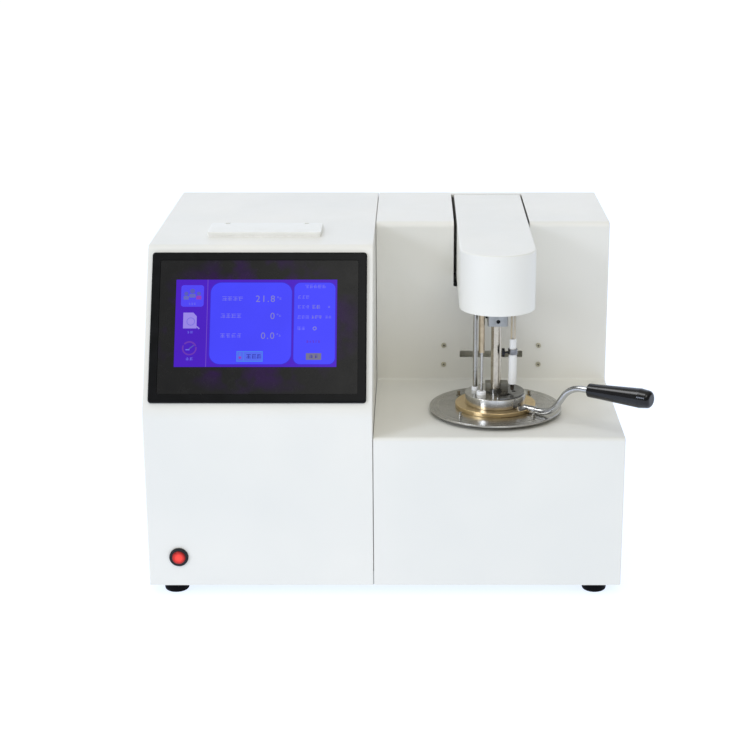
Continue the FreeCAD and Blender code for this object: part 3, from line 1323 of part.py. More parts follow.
def swung(shape):
    """Turns a handle piece, drawn outwards along X, to the handle's direction."""
    shape.rotate(Vector(0, 0, 0), Vector(0, 0, 1), HANDLE_TURN)
    shape.translate(head(0, 0, 0))
    return shape


def handle_lug():
    """Socket for the rod at the flange's rim, with a curved plate that a screw holds to the flange."""
    boss_start = LUG_INNER + LUG_BOSS_SETBACK
    axis = Vector(1, 0, 0)
    boss = Part.makeCylinder(LUG_BOSS_RADIUS, LUG_OUTER - boss_start, Vector(boss_start, 0, ROD_LOW), axis)
    far = LUG_OUTER - SNUG_GAP
    boss = rounded_edges(boss, LUG_BOSS_ROUND, lambda e: e.BoundBox.XMin > far)
    rim = Part.makeCylinder(CUP_FLANGE_RADIUS + SNUG_GAP, CUP_FLANGE_THICK, Vector(0, 0, DISC_TOP))
    below = box(0, LUG_OUTER + CUT, -LUG_OUTER, LUG_OUTER, DISC_TOP - CUT, DISC_TOP + FIT_GAP)
    plate = ring_sector(LUG_INNER, LUG_INNER + LUG_PLATE_WIDTH, LUG_PLATE_END, LUG_PLATE_START,
                        FLANGE_TOP, FLANGE_TOP + LUG_PLATE_THICK)
    plate = rounded_edges(plate, LUG_ROUND, lambda e: e.BoundBox.ZLength > LUG_PLATE_THICK - SNUG_GAP)
    x, y = orbit(LUG_INNER + LUG_PLATE_WIDTH / 2, LUG_SCREW_TURN)
    screw = Part.makeCylinder(LUG_SCREW_RADIUS, LUG_SCREW_HEIGHT, Vector(x, y, FLANGE_TOP + LUG_PLATE_THICK))
    bore = Part.makeCylinder(ROD_RADIUS, ROD_SINK + CUT, Vector(LUG_OUTER - ROD_SINK, 0, ROD_LOW), axis)
    return swung(joined([boss.cut([rim, below]), plate, screw]).cut(bore))


def ring_sector(inner, outer, start, end, z0, z1):
    """Part of a flat ring about the vertical axis."""
    middle = (start + end) / 2
    far = [Vector(*orbit(outer, angle), z0) for angle in (start, middle, end)]
    near = [Vector(*orbit(inner, angle), z0) for angle in (end, middle, start)]
    edges = [
        Part.Arc(*far).toShape(),
        Part.LineSegment(far[2], near[0]).toShape(),
        Part.Arc(*near).toShape(),
        Part.LineSegment(near[2], far[0]).toShape(),
    ]
    return Part.Face(Part.Wire(edges)).extrude(Vector(0, 0, z1 - z0))


def bend_points():
    """Corners of the handle's rod in its own upright plane."""
    return [
        Vector(LUG_OUTER - ROD_SINK, 0, ROD_LOW),
        Vector(ROD_ELBOW_LOW, 0, ROD_LOW),
        Vector(ROD_ELBOW_HIGH, 0, ROD_HIGH),
        risen(Vector(GRIP_START + GRIP_BORE_DEPTH, 0, ROD_HIGH)),
    ]


def risen(thing):
    """Tilts a point or a body of the upper run about the upper elbow, so that the run rises outwards."""
    elbow = Vector(ROD_ELBOW_HIGH, 0, ROD_HIGH)
    if isinstance(thing, Vector):
        turn = FreeCAD.Rotation(Vector(0, 1, 0), -HANDLE_RISE)
        return turn.multVec(thing.sub(elbow)).add(elbow)
    thing.rotate(elbow, Vector(0, 1, 0), -HANDLE_RISE)
    return thing


def bent_path(points, radius):
    """Straight runs joined by tangent arcs of one radius."""
    edges = []
    start = points[0]
    for i in range(1, len(points) - 1):
        here = points[i]
        before = points[i - 1].sub(here).normalize()
        after = points[i + 1].sub(here).normalize()
        half = before.getAngle(after) / 2
        reach = radius / math.tan(half)
        middle = Vector(before.x, before.y, before.z).add(after).normalize()
        first = here.add(Vector(before.x, before.y, before.z).multiply(reach))
        last = here.add(Vector(after.x, after.y, after.z).multiply(reach))
        apex = here.add(middle.multiply(radius / math.sin(half) - radius))
        edges.append(Part.LineSegment(start, first).toShape())
        edges.append(Part.Arc(first, apex, last).toShape())
        start = last
    edges.append(Part.LineSegment(start, points[-1]).toShape())
    return Part.Wire(edges)


def handle_rod():
    """Bent rod from the lug up and out to the grip."""
    points = bend_points()
    path = bent_path(points, ROD_BEND)
    circle = Part.Wire(Part.Circle(points[0], Vector(1, 0, 0), ROD_RADIUS).toShape())
    body = path.makePipeShell([circle], True, False)
    return swung(body)


def handle_grip():
    """Tapered grip, widest near its rounded end, with the bore for the rod."""
    shoulder = GRIP_END - GRIP_SHOULDER
    bore = ROD_RADIUS + SNUG_GAP
    bore_end = GRIP_START + GRIP_BORE_DEPTH + FIT_GAP
    corners = [
        (GRIP_START, bore, 0),
        (GRIP_START, GRIP_START_RADIUS, GRIP_START_ROUND),
        (GRIP_START + GRIP_SHOULDER, GRIP_WAIST_RADIUS, 0),
        (shoulder, GRIP_END_RADIUS, GRIP_ROUND),
        (GRIP_END, GRIP_END_RADIUS - GRIP_TIP_INSET, GRIP_ROUND),
        (GRIP_END, 0, 0),
        (bore_end, 0, 0),
        (bore_end, bore, 0),
    ]
    wire = rounded_wire(corners, lambda a, b: Vector(a, 0, ROD_HIGH + b))
    body = Part.Face(wire).revolve(Vector(0, 0, ROD_HIGH), Vector(1, 0, 0), 360)
    return swung(risen(body))


def lid():
    """Lid plate with a skirt round the cup's rim, its front pins and every opening that the head needs."""
    inner = CUP_OUTER_RADIUS + LID_FIT
    skirt = FLANGE_TOP + LID_SKIRT_GAP
    bore = SHAFT_RADIUS + RUN_GAP
    profile = [
        (bore, CUP_RIM, 0),
        (inner, CUP_RIM, 0),
        (inner, skirt, 0),
        (LID_RADIUS, skirt, 0),
        (LID_RADIUS, LID_TOP, LID_ROUND),
        (bore, LID_TOP, 0),
    ]
    cuts = [
        head_rod(PROBE_RADIUS + SNUG_GAP, PROBE_X, PROBE_Y, CUP_RIM - CUT, LID_TOP + CUT),
        head_rod(DETECTOR_TIP_RADIUS + SNUG_GAP, DETECTOR_X, DETECTOR_Y, CUP_RIM - CUT, LID_TOP + CUT),
        head_rod(IGNITER_HOLE_RADIUS, IGNITER_X, IGNITER_Y, CUP_RIM - CUT, LID_TOP + CUT),
    ]
    for turn in (PORT_FIRST_TURN, PORT_SECOND_TURN):
        x, y = orbit(PORT_ORBIT, turn)
        cuts.append(head_rod(PORT_RADIUS, x, y, CUP_RIM - CUT, LID_TOP + CUT))
    return joined([turned(profile, head(0, 0, 0)).cut(cuts)] + lid_pins())


def lid_pins():
    """Short stop pin and tall index pin at the front of the lid."""
    pins = []
    for turn, height in ((STOP_PIN_SHORT_TURN, STOP_PIN_SHORT), (STOP_PIN_TALL_TURN, STOP_PIN_TALL)):
        x, y = orbit(STOP_PIN_ORBIT, turn)
        pins.append(head_rod(STOP_PIN_RADIUS, x, y, LID_TOP, LID_TOP + height))
    return pins


def sector(radius, start, end, z0, z1):
    """Flat sector plate about the head's axis."""
    angles = [start, (start + end) / 2, end]
    points = [head(*orbit(radius, angle), z0) for angle in angles]
    centre = head(0, 0, z0)
    edges = [Part.LineSegment(centre, points[0]).toShape(), Part.Arc(*points).toShape(),
             Part.LineSegment(points[2], centre).toShape()]
    return Part.Face(Part.Wire(edges)).extrude(Vector(0, 0, z1 - z0))


def shutter_slot():
    """Arc slot that lets the igniter's tip dip while the shutter turns."""
    start = IGNITER_TURN - SLOT_LEAD
    end = IGNITER_TURN - SHUTTER_TRAVEL - SLOT_TAIL
    low = SHUTTER_BASE - CUT
    high = SHUTTER_TOP + CUT
    wide = sector(IGNITER_ORBIT + SLOT_HALF_WIDTH, end, start, low, high)
    return wide.cut(head_rod(IGNITER_ORBIT - SLOT_HALF_WIDTH, 0, 0, low - CUT, high + CUT))


def shutter_plate():
    """Rotary shutter: sector plate with a hub, the igniter's arc slot, two windows, and the driver on it."""
    plate = sector(SHUTTER_RADIUS, SHUTTER_START, SHUTTER_END, SHUTTER_BASE, SHUTTER_TOP)
    hub = head_rod(SHUTTER_HUB_RADIUS, 0, 0, SHUTTER_BASE, SHUTTER_HUB_TOP)
    cuts = [shutter_slot(), head_rod(SHUTTER_TUBE_RADIUS, 0, 0, SHUTTER_BASE - CUT, SHUTTER_TOP + 2 * CUT)]
    for turn in (PORT_FIRST_TURN, PORT_SECOND_TURN):
        x, y = orbit(PORT_ORBIT, turn - SHUTTER_TRAVEL)
        cuts.append(head_rod(PORT_RADIUS, x, y, SHUTTER_BASE - CUT, SHUTTER_TOP + CUT))
    return grouped([joined([plate, hub]).cut(cuts), shutter_driver()])


def shutter_driver():
    """Block on the shutter's plate that grips its hub from behind and clears the sleeve above."""
    corners = rectangle(HEAD_X - DRIVER_LEFT, HEAD_X + DRIVER_RIGHT,
                        HEAD_Y - DRIVER_FRONT, HEAD_Y + DRIVER_REAR, DRIVER_ROUND)
    low = TABLE_TOP + SHUTTER_TOP
    body = prism_z(corners, low, low + DRIVER_HEIGHT)
    body = rounded_edges(body, DRIVER_TOP_ROUND, lambda e: at_height(e, low + DRIVER_HEIGHT))
    return body.cut([
        head_rod(SHUTTER_HUB_RADIUS + SNUG_GAP, 0, 0, SHUTTER_TOP - CUT, SHUTTER_HUB_TOP),
        head_rod(SLEEVE_RADIUS + FIT_GAP, 0, 0, SHUTTER_TOP - CUT, SHUTTER_TOP + DRIVER_HEIGHT + CUT),
    ])


def shutter_tube():
    """Drive tube of the shutter, from its hub up through the sleeve into the arm."""
    z1 = ACTUATOR_BASE + ACTUATOR_HEIGHT
    tube = head_rod(SHUTTER_TUBE_RADIUS, 0, 0, SHUTTER_BASE, z1)
    return tube.cut(head_rod(SHAFT_RADIUS + RUN_GAP, 0, 0, SHUTTER_BASE - CUT, z1 + CUT))


def probe_bosses():
    """White guide bosses of the two probes on the lid."""
    bosses = []
    for x, y, bore, radius, height in (
        (PROBE_X, PROBE_Y, PROBE_RADIUS, PROBE_BOSS_RADIUS, PROBE_BOSS_HEIGHT),
        (DETECTOR_X, DETECTOR_Y, DETECTOR_RADIUS, DETECTOR_BOSS_RADIUS, DETECTOR_BOSS_HEIGHT),
    ):
        profile = [
            (bore + SNUG_GAP, LID_TOP, 0),
            (radius, LID_TOP, 0),
            (radius, LID_TOP + height, CERAMIC_ROUND),
            (bore + SNUG_GAP, LID_TOP + height, 0),
        ]
        bosses.append(turned(profile, head(x, y, 0)))
    return grouped(bosses)


def temperature_probe():
    """Round-ended temperature probe from the arm down into the sample."""
    end = CUP_RIM - PROBE_IMMERSION
    body = head_rod(PROBE_RADIUS, PROBE_X, PROBE_Y, end + PROBE_RADIUS, ARM_FLOOR_TOP + LEAD_SEAT)
    return joined([body, Part.makeSphere(PROBE_RADIUS, head(PROBE_X, PROBE_Y, end + PROBE_RADIUS))])


def flash_detector():
    """Flash detector: slim stem with a wider tip just under the lid."""
    end = CUP_RIM - DETECTOR_IMMERSION
    stem = head_rod(DETECTOR_RADIUS, DETECTOR_X, DETECTOR_Y, end, ARM_FLOOR_TOP + LEAD_SEAT)
    tip = head_rod(DETECTOR_TIP_RADIUS, DETECTOR_X, DETECTOR_Y, end, end + DETECTOR_TIP_LENGTH)
    return joined([stem, tip])


def head_sleeves():
    """The two shiny sleeves under the arm."""
    return grouped([stirrer_sleeve(), detector_sleeve()])


def detector_sleeve():
    """Shiny sleeve over the upper part of the detector's stem."""
    top = ARM_FLOOR_TOP + SLEEVE_RADIUS
    low = DETECTOR_SLEEVE_END
    body = head_rod(DETECTOR_SLEEVE_RADIUS, DETECTOR_X, DETECTOR_Y, low, top)
    return body.cut(head_rod(DETECTOR_RADIUS + SNUG_GAP, DETECTOR_X, DETECTOR_Y, low - CUT, top + CUT))


def stirrer_sleeve():
    """Outer sleeve that guides the shutter's tube and the stirrer's shaft."""
    body = head_rod(SLEEVE_RADIUS, 0, 0, SLEEVE_END, ARM_FLOOR_TOP)
    return body.cut(head_rod(SHUTTER_TUBE_RADIUS + RUN_GAP, 0, 0, SLEEVE_END - CUT, ARM_FLOOR_TOP + CUT))


def blade(radius):
    """Propeller blade lofted outwards with a little twist."""
    sections = []
    root = PROP_HUB_RADIUS / 2
    for reach, pitch in ((root, BLADE_PITCH), (radius - BLADE_THICK, BLADE_PITCH - BLADE_TWIST)):
        half = BLADE_WIDTH / 2 if reach > PROP_HUB_RADIUS else BLADE_WIDTH / 3
        thick = BLADE_THICK / 2
        c = math.cos(math.radians(pitch))
        s = math.sin(math.radians(pitch))
        corners = [(-half, -thick), (half, -thick), (half, thick), (-half, thick)]
        points = [Vector(reach, a * c - b * s, a * s + b * c) for a, b in corners]
        sections.append(Part.makePolygon(points + [points[0]]))
    return Part.makeLoft(sections, True, True)


def stirrer():
    """Shaft with a small two-blade propeller for the vapour and a large one for the sample."""
    top = MOTOR_BASE + MOTOR_BORE_DEPTH - FIT_GAP
    pieces = [head_rod(SHAFT_RADIUS, 0, 0, STIRRER_END, top)]
    half = PROP_HUB_HEIGHT / 2
    upper = (UPPER_PROP_HEIGHT, UPPER_PROP_RADIUS, 90)
    lower = (LOWER_PROP_HEIGHT, LOWER_PROP_RADIUS, 0)
    for height, radius, start in (upper, lower):
        pieces.append(head_rod(PROP_HUB_RADIUS, 0, 0, height - half, height + half))
        for turn in (start, start + 180):
            one = blade(radius)
            one.rotate(Vector(0, 0, 0), Vector(0, 0, 1), turn)
            one.translate(head(0, 0, height))
            pieces.append(one)
    return joined(pieces)


def igniter_ceramic():
    """Ceramic tube with a neck, carrying the glow coil at its lower end."""
    hole = COIL_RADIUS + SNUG_GAP
    seat = CERAMIC_START + LEAD_SEAT
    profile = [
        (0, CERAMIC_TOP, 0),
        (0, seat, 0),
        (hole, seat, 0),
        (hole, CERAMIC_START, 0),
        (CERAMIC_RADIUS, CERAMIC_START, CERAMIC_ROUND),
        (CERAMIC_RADIUS, CERAMIC_SHOULDER, CERAMIC_ROUND),
        (CERAMIC_NECK_RADIUS, CERAMIC_SHOULDER, 0),
        (CERAMIC_NECK_RADIUS, CERAMIC_TOP, CERAMIC_ROUND),
    ]
    body = turned(profile, head(IGNITER_X, IGNITER_Y, 0))
    cuts = []
    for shift, radius in ((PUSH_ROD_SHIFT, PUSH_ROD_RADIUS), (LEAD_SHIFT, LEAD_RADIUS)):
        cuts.append(head_rod(radius + SNUG_GAP, IGNITER_X + shift, IGNITER_Y,
                             CERAMIC_TOP - LEAD_SEAT, CERAMIC_TOP + CUT))
    return body.cut(cuts)


def igniter_coil():
    """Glow coil's holder at the tip."""
    profile = [
        (0, CERAMIC_START + LEAD_SEAT - SNUG_GAP, 0),
        (0, COIL_END, 0),
        (COIL_RADIUS, COIL_END, CERAMIC_ROUND),
        (COIL_RADIUS, CERAMIC_START + LEAD_SEAT - SNUG_GAP, 0),
    ]
    return turned(profile, head(IGNITER_X, IGNITER_Y, 0))


def igniter_push_rod():
    """Thin rod that pushes the ceramic down, from the solenoid's bore."""
    start = CERAMIC_TOP - LEAD_SEAT + SNUG_GAP
    end = ARM_FLOOR_TOP + SOLENOID_LIFT + SOLENOID_STROKE_SPARE + IGNITER_DIP
    return head_rod(PUSH_ROD_RADIUS, IGNITER_X + PUSH_ROD_SHIFT, IGNITER_Y, start, end)


def igniter_lead():
    """Covered lead of the glow coil, running up into the arm."""
    start = CERAMIC_TOP - LEAD_SEAT + SNUG_GAP
    return head_rod(LEAD_RADIUS, IGNITER_X + LEAD_SHIFT, IGNITER_Y, start, ARM_FLOOR_TOP + LEAD_SPARE)


def igniter_clip():
    """Collar on the ceramic's neck with the thumb screw that holds it."""
    z0 = CERAMIC_SHOULDER + CLIP_LIFT
    z1 = z0 + CLIP_HEIGHT
    collar = head_rod(CERAMIC_NECK_RADIUS + SNUG_GAP + CLIP_WALL, IGNITER_X, IGNITER_Y, z0, z1)
    return grouped([
        collar.cut([
            head_rod(CERAMIC_NECK_RADIUS + SNUG_GAP, IGNITER_X, IGNITER_Y, z0 - CUT, z1 + CUT),
            thumb_screw_rod(CLIP_SCREW_RADIUS + SNUG_GAP, 0, CLIP_SCREW_START + CUT),
        ]),
        thumb_screw(),
    ])


def thumb_screw_rod(radius, start, end):
    """Bar along the thumb screw, from one distance to another left of the ceramic's axis."""
    z = CERAMIC_SHOULDER + CLIP_LIFT + CLIP_HEIGHT / 2 - CLIP_SCREW_DROP
    return rod(radius, head(IGNITER_X - start, IGNITER_Y, z), head(IGNITER_X - end, IGNITER_Y, z))


def thumb_screw():
    """Thumb screw with a wide round head."""
    end = CLIP_SCREW_START + CLIP_SCREW_HEAD
    shank = thumb_screw_rod(CLIP_SCREW_RADIUS, CERAMIC_NECK_RADIUS + SNUG_GAP, end)
    knob = thumb_screw_rod(CLIP_SCREW_HEAD_RADIUS, CLIP_SCREW_START, end)
    knob = rounded_edges(knob, CLIP_SCREW_ROUND, lambda e: e.BoundBox.XLength < SNUG_GAP)
    return joined([shank, knob])


def clamp_block():
    """Aluminium block under the arm that clamps the sleeve."""
    z0 = TABLE_TOP + ARM_BOTTOM - CLAMP_HEIGHT
    corners = rectangle(HEAD_X - CLAMP_LEFT, HEAD_X + CLAMP_RIGHT,
                        HEAD_Y - CLAMP_FRONT, HEAD_Y + CLAMP_REAR, CLAMP_CORNER)
    body = prism_z(corners, z0, TABLE_TOP + ARM_BOTTOM)
    cuts = [
        head_rod(SLEEVE_RADIUS + SNUG_GAP, 0, 0, ARM_BOTTOM - CLAMP_HEIGHT - CUT, ARM_BOTTOM + CUT),
        clamp_screw_rod(CLAMP_SCREW_RADIUS, -CUT, CLAMP_SCREW_DEPTH),
        side_screw_rod(SIDE_SCREW_RADIUS, CUT, SIDE_SCREW_DEPTH),
    ]
    return body.cut(cuts)


def clamp_screw_rod(radius, start, end):
    """Bar along the set screw in the block's front face, between two depths."""
    z = ARM_BOTTOM - CLAMP_SCREW_DROP
    first = head(CLAMP_SCREW_X, start - CLAMP_FRONT, z)
    return rod(radius, first, head(CLAMP_SCREW_X, end - CLAMP_FRONT, z))


def side_screw_rod(radius, proud, depth):
    """Bar along the set screw in the block's left face."""
    z = ARM_BOTTOM - SIDE_SCREW_DROP
    return rod(radius, head(-CLAMP_LEFT - proud, SIDE_SCREW_Y, z), head(-CLAMP_LEFT + depth, SIDE_SCREW_Y, z))


def head_screws():
    """Set screws of the clamp block: one sunk into its front, one proud of its left side."""
    return grouped([
        clamp_screw_rod(CLAMP_SCREW_RADIUS - SNUG_GAP, CLAMP_RECESS, CLAMP_SCREW_DEPTH),
        side_screw_rod(SIDE_SCREW_RADIUS - SNUG_GAP, SIDE_SCREW_PROUD, SIDE_SCREW_DEPTH),
    ])


def arm_outline(wall):
    """Plan of the arm: straight sides and a half-round nose, drawn in by a wall."""
    radius = ARM_RADIUS - wall
    x0 = HEAD_X - radius
    x1 = HEAD_X + radius
    front = ARM_FRONT + wall
    rear = ARM_REAR - wall
    return [(x0, front, radius), (x1, front, radius - SNUG_GAP), (x1, rear, 0), (x0, rear, 0)]


def arm_shell():
    """White cover of the arm: sheet walls, rounded nose, open below."""
    z0 = TABLE_TOP + ARM_BOTTOM
    body = prism_z(arm_outline(0), z0, HOUSING_TOP)
    body = rounded_edges(body, ARM_TOP_ROUND, lambda e: at_height(e, HOUSING_TOP))
    return body.cut(prism_z(arm_outline(ARM_WALL), z0 - CUT, HOUSING_TOP - ARM_WALL))


def arm_floor():
    """Floor plate of the arm with the holes for everything that hangs below it."""
    z0 = TABLE_TOP + ARM_BOTTOM
    body = prism_z(arm_outline(ARM_WALL + SNUG_GAP), z0, z0 + ARM_FLOOR_THICK)
    cuts = []
    for radius, x, y in (
        (SLEEVE_RADIUS + SNUG_GAP, 0, 0),
        (PROBE_RADIUS + SNUG_GAP, PROBE_X, PROBE_Y),
        (DETECTOR_SLEEVE_RADIUS + SNUG_GAP, DETECTOR_X, DETECTOR_Y),
        (PUSH_ROD_RADIUS + RUN_GAP, IGNITER_X + PUSH_ROD_SHIFT, IGNITER_Y),
        (LEAD_RADIUS + RUN_GAP, IGNITER_X + LEAD_SHIFT, IGNITER_Y),
    ):
        cuts.append(head_rod(radius, x, y, ARM_BOTTOM - CUT, ARM_FLOOR_TOP + CUT))
    return body.cut(cuts)


def shutter_actuator():
    """Hollow-shaft actuator that turns the shutter's tube, on a pedestal ring."""
    z1 = ACTUATOR_BASE + ACTUATOR_HEIGHT
    body = head_rod(ACTUATOR_RADIUS, 0, 0, ACTUATOR_BASE, z1)
    pedestal = head_rod(ACTUATOR_RADIUS - ACTUATOR_LEDGE, 0, 0, ARM_FLOOR_TOP, ACTUATOR_BASE)
    bore = head_rod(SHUTTER_TUBE_RADIUS + RUN_GAP, 0, 0, ARM_FLOOR_TOP - CUT, z1 + CUT)
    return joined([body, pedestal]).cut(bore)


def stirrer_motor():
    """Motor of the stirrer on a spacer ring above the actuator, with the shaft's blind bore."""
    z0 = ACTUATOR_BASE + ACTUATOR_HEIGHT
    spacer = head_rod(MOTOR_RADIUS - ACTUATOR_LEDGE, 0, 0, z0, MOTOR_BASE)
    room = head_rod(MOTOR_RADIUS - 2 * ACTUATOR_LEDGE, 0, 0, z0 - CUT, MOTOR_BASE)
    body = head_rod(MOTOR_RADIUS, 0, 0, MOTOR_BASE, MOTOR_BASE + MOTOR_HEIGHT)
    body = rounded_edges(body, ARM_WALL, lambda e: at_height(e, TABLE_TOP + MOTOR_BASE + MOTOR_HEIGHT))
    bore = head_rod(SHAFT_RADIUS + RUN_GAP, 0, 0, MOTOR_BASE - CUT, MOTOR_BASE + MOTOR_BORE_DEPTH)
    return joined([body, spacer.cut(room)]).cut(bore)


def igniter_solenoid():
    """Solenoid over the push rod, on a foot that stands on the arm's floor."""
    x = IGNITER_X + PUSH_ROD_SHIFT
    half = SOLENOID_SIZE / 2
    low = head(x - half, IGNITER_Y - half, ARM_FLOOR_TOP + SOLENOID_LIFT)
    body = box(low.x, low.x + SOLENOID_SIZE, low.y, low.y + SOLENOID_SIZE, low.z, low.z + SOLENOID_HEIGHT)
    floor = TABLE_TOP + ARM_FLOOR_TOP
    right = low.x + SOLENOID_SIZE
    rear = low.y + SOLENOID_SIZE
    foot = box(right - SOLENOID_FOOT, right, low.y, rear, floor, low.z)
    base = box(right - SOLENOID_FOOT, right + half / 2, low.y, rear, floor, floor + SOLENOID_FOOT)
    top = ARM_FLOOR_TOP + SOLENOID_LIFT + SOLENOID_HEIGHT - SOLENOID_FOOT
    bore = head_rod(PUSH_ROD_RADIUS + RUN_GAP, x, IGNITER_Y, ARM_FLOOR_TOP + SOLENOID_LIFT - CUT, top)
    return joined([body, foot, base]).cut(bore)


def lift_x(shift):
    """X of a place counted from the middle of the lift."""
    return HEAD_X + shift


def lift_bar(radius, shift, z0, z1):
    """Vertical bar in the plane of the lift's guides."""
    return rod(radius, Vector(lift_x(shift), LIFT_Y, z0), Vector(lift_x(shift), LIFT_Y, z1))


def lift_frame():
    """Folded steel frame: back plate, foot, motor shelf and top plate with the rods' holes."""
    half = LIFT_PLATE_WIDTH / 2
    y0 = LIFT_Y + LIFT_PLATE_SETBACK
    back = box(lift_x(-half), lift_x(half), y0, y0 + LIFT_PLATE_THICK, PAN_TOP, LIFT_TOP)
    foot = box(lift_x(-half), lift_x(half), y0, y0 + LIFT_FOOT, PAN_TOP, PAN_TOP + LIFT_PLATE_THICK)
    shelf = box(lift_x(-half), lift_x(half), LIFT_Y - LIFT_SHELF_FRONT, y0,
                SHELF_TOP - LIFT_SHELF_THICK, SHELF_TOP)
    cap = box(lift_x(-half), lift_x(half), LIFT_Y - LIFT_CAP_FRONT, y0, LIFT_TOP - LIFT_SHELF_THICK, LIFT_TOP)
    cuts = [
        lift_bar(SCREW_RADIUS + RUN_GAP, 0, SHELF_TOP - LIFT_SHELF_THICK - CUT, SHELF_TOP + CUT),
        lift_bar(SCREW_RADIUS + RUN_GAP, 0, LIFT_TOP - LIFT_SHELF_THICK - CUT,
                 LIFT_TOP - LIFT_PLATE_THICK / 2),
    ]
    for shift in (-GUIDE_SPREAD, GUIDE_SPREAD):
        for top in (SHELF_TOP, LIFT_TOP):
            cuts.append(lift_bar(GUIDE_RADIUS + SNUG_GAP, shift, top - LIFT_SHELF_THICK - CUT, top + CUT))
    return joined([back, foot, shelf, cap]).cut(cuts)


def lift_rods():
    """Two ground guide rods."""
    z0 = SHELF_TOP - LIFT_SHELF_THICK
    return grouped([lift_bar(GUIDE_RADIUS, shift, z0, LIFT_TOP) for shift in (-GUIDE_SPREAD, GUIDE_SPREAD)])


def lift_motor():
    """Square lift motor under the shelf, with the screw's bore."""
    half = LIFT_MOTOR_SIZE / 2
    z1 = SHELF_TOP - LIFT_SHELF_THICK
    z0 = z1 - LIFT_MOTOR_HEIGHT
    body = box(lift_x(-half), lift_x(half), LIFT_Y - half, LIFT_Y + half, z0, z1)
    upright = [edge for edge in body.Edges if edge.BoundBox.ZLength > half]
    body = body.makeChamfer(LIFT_MOTOR_CHAMFER, upright)
    return body.cut(lift_bar(SCREW_RADIUS + RUN_GAP, 0, z1 - SCREW_SEAT - FIT_GAP, z1 + CUT))


def lift_screw():
    """Lead screw between the motor and the top plate."""
    z0 = SHELF_TOP - LIFT_SHELF_THICK - SCREW_SEAT
    return lift_bar(SCREW_RADIUS, 0, z0, LIFT_TOP - LIFT_PLATE_THICK / 2 - FIT_GAP)


def lift_carriage():
    """Carriage with linear bearings on both rods and the nut on the screw."""
    half = CARRIAGE_WIDTH / 2
    y0 = LIFT_Y - CARRIAGE_DEPTH / 2
    z1 = CARRIAGE_BOTTOM + CARRIAGE_HEIGHT
    body = box(lift_x(-half), lift_x(half), y0, y0 + CARRIAGE_DEPTH, CARRIAGE_BOTTOM, z1)
    upright = [edge for edge in body.Edges if edge.BoundBox.ZLength > half / 2]
    body = body.makeChamfer(LIFT_MOTOR_CHAMFER, upright)
    cuts = [lift_bar(SCREW_RADIUS + RUN_GAP, 0, CARRIAGE_BOTTOM - CUT, z1 + CUT)]
    for shift in (-GUIDE_SPREAD, GUIDE_SPREAD):
        cuts.append(lift_bar(GUIDE_RADIUS + RUN_GAP, shift, CARRIAGE_BOTTOM - CUT, z1 + CUT))
    return body.cut(cuts)


def arm_mast():
    """Plate from the carriage up to the arm's floor, with a flange and two ribs."""
    half = MAST_WIDTH / 2
    y1 = LIFT_Y - CARRIAGE_DEPTH / 2
    y0 = y1 - MAST_THICK
    z1 = TABLE_TOP + ARM_BOTTOM
    plate = box(lift_x(-half), lift_x(half), y0, y1, CARRIAGE_BOTTOM, z1)
    flange = box(lift_x(-half), lift_x(half), y0 - MAST_FLANGE, y0, z1 - MAST_THICK, z1)
    ribs = []
    for x in (lift_x(-half), lift_x(half) - MAST_RIB):
        corners = [(y0, z1 - MAST_THICK, 0), (y0 - MAST_RIB_REACH, z1 - MAST_THICK, 0),
                   (y0, z1 - MAST_THICK - MAST_RIB_REACH, 0)]
        ribs.append(prism_x(corners, x, x + MAST_RIB))
    return joined([plate, flange] + ribs)


def wall_slot_corners(margin):
    """Outline of the slot in the riser wall, grown by a margin."""
    half = WALL_SLOT_WIDTH / 2 + margin
    z = TABLE_TOP + WALL_SLOT_UP
    tall = WALL_SLOT_HEIGHT / 2 + margin
    return rectangle(HEAD_X - half, HEAD_X + half, z - tall, z + tall, WALL_SLOT_CORNER)


def wall_screws(y):
    """Centres of the four screws round the slot, y counted from the riser's front."""
    points = []
    for x in (HEAD_X - WALL_SCREW_PITCH_X / 2, HEAD_X + WALL_SCREW_PITCH_X / 2):
        for z in (-WALL_SCREW_PITCH_Z / 2, WALL_SCREW_PITCH_Z / 2):
            points.append(Vector(x, RISER_SETBACK + y, TABLE_TOP + WALL_SCREW_UP + z))
    return points


def slot_backing():
    """Drawn tray behind the slot, with a flange that the four screws hold."""
    half = WALL_SCREW_PITCH_X / 2 + BACKING_MARGIN
    z = TABLE_TOP + WALL_SCREW_UP
    tall = WALL_SCREW_PITCH_Z / 2 + BACKING_MARGIN
    y0 = RISER_SETBACK + SHEET
    outline = rectangle(HEAD_X - half, HEAD_X + half, z - tall, z + tall, BACKING_RIM)
    flange = prism_y(outline, y0, y0 + BACKING_THICK)
    tub = prism_y(wall_slot_corners(BACKING_RIM + BACKING_THICK), y0, y0 + BACKING_DEPTH)
    hollow = prism_y(wall_slot_corners(BACKING_RIM), y0 - CUT, y0 + BACKING_DEPTH - BACKING_THICK)
    holes = [rod(WALL_SCREW_SHANK + SNUG_GAP, p, p.add(Vector(0, 2 * CUT, 0))) for p in wall_screws(-CUT)]
    return joined([flange, tub]).cut([hollow] + holes)


def slot_screws():
    """Four screws that hold the tray."""
    screws = []
    for point in wall_screws(0):
        screw_head = rod(WALL_SCREW_RADIUS, point.add(Vector(0, -WALL_SCREW_HEAD, 0)), point)
        front = [edge for edge in screw_head.Edges if edge.BoundBox.YMax < RISER_SETBACK - SNUG_GAP]
        screw_head = screw_head.makeFillet(WALL_SCREW_HEAD / 3, front)
        shank = rod(WALL_SCREW_SHANK, point, point.add(Vector(0, WALL_SCREW_LENGTH, 0)))
        screws.append(joined([screw_head, shank]))
    return grouped(screws)


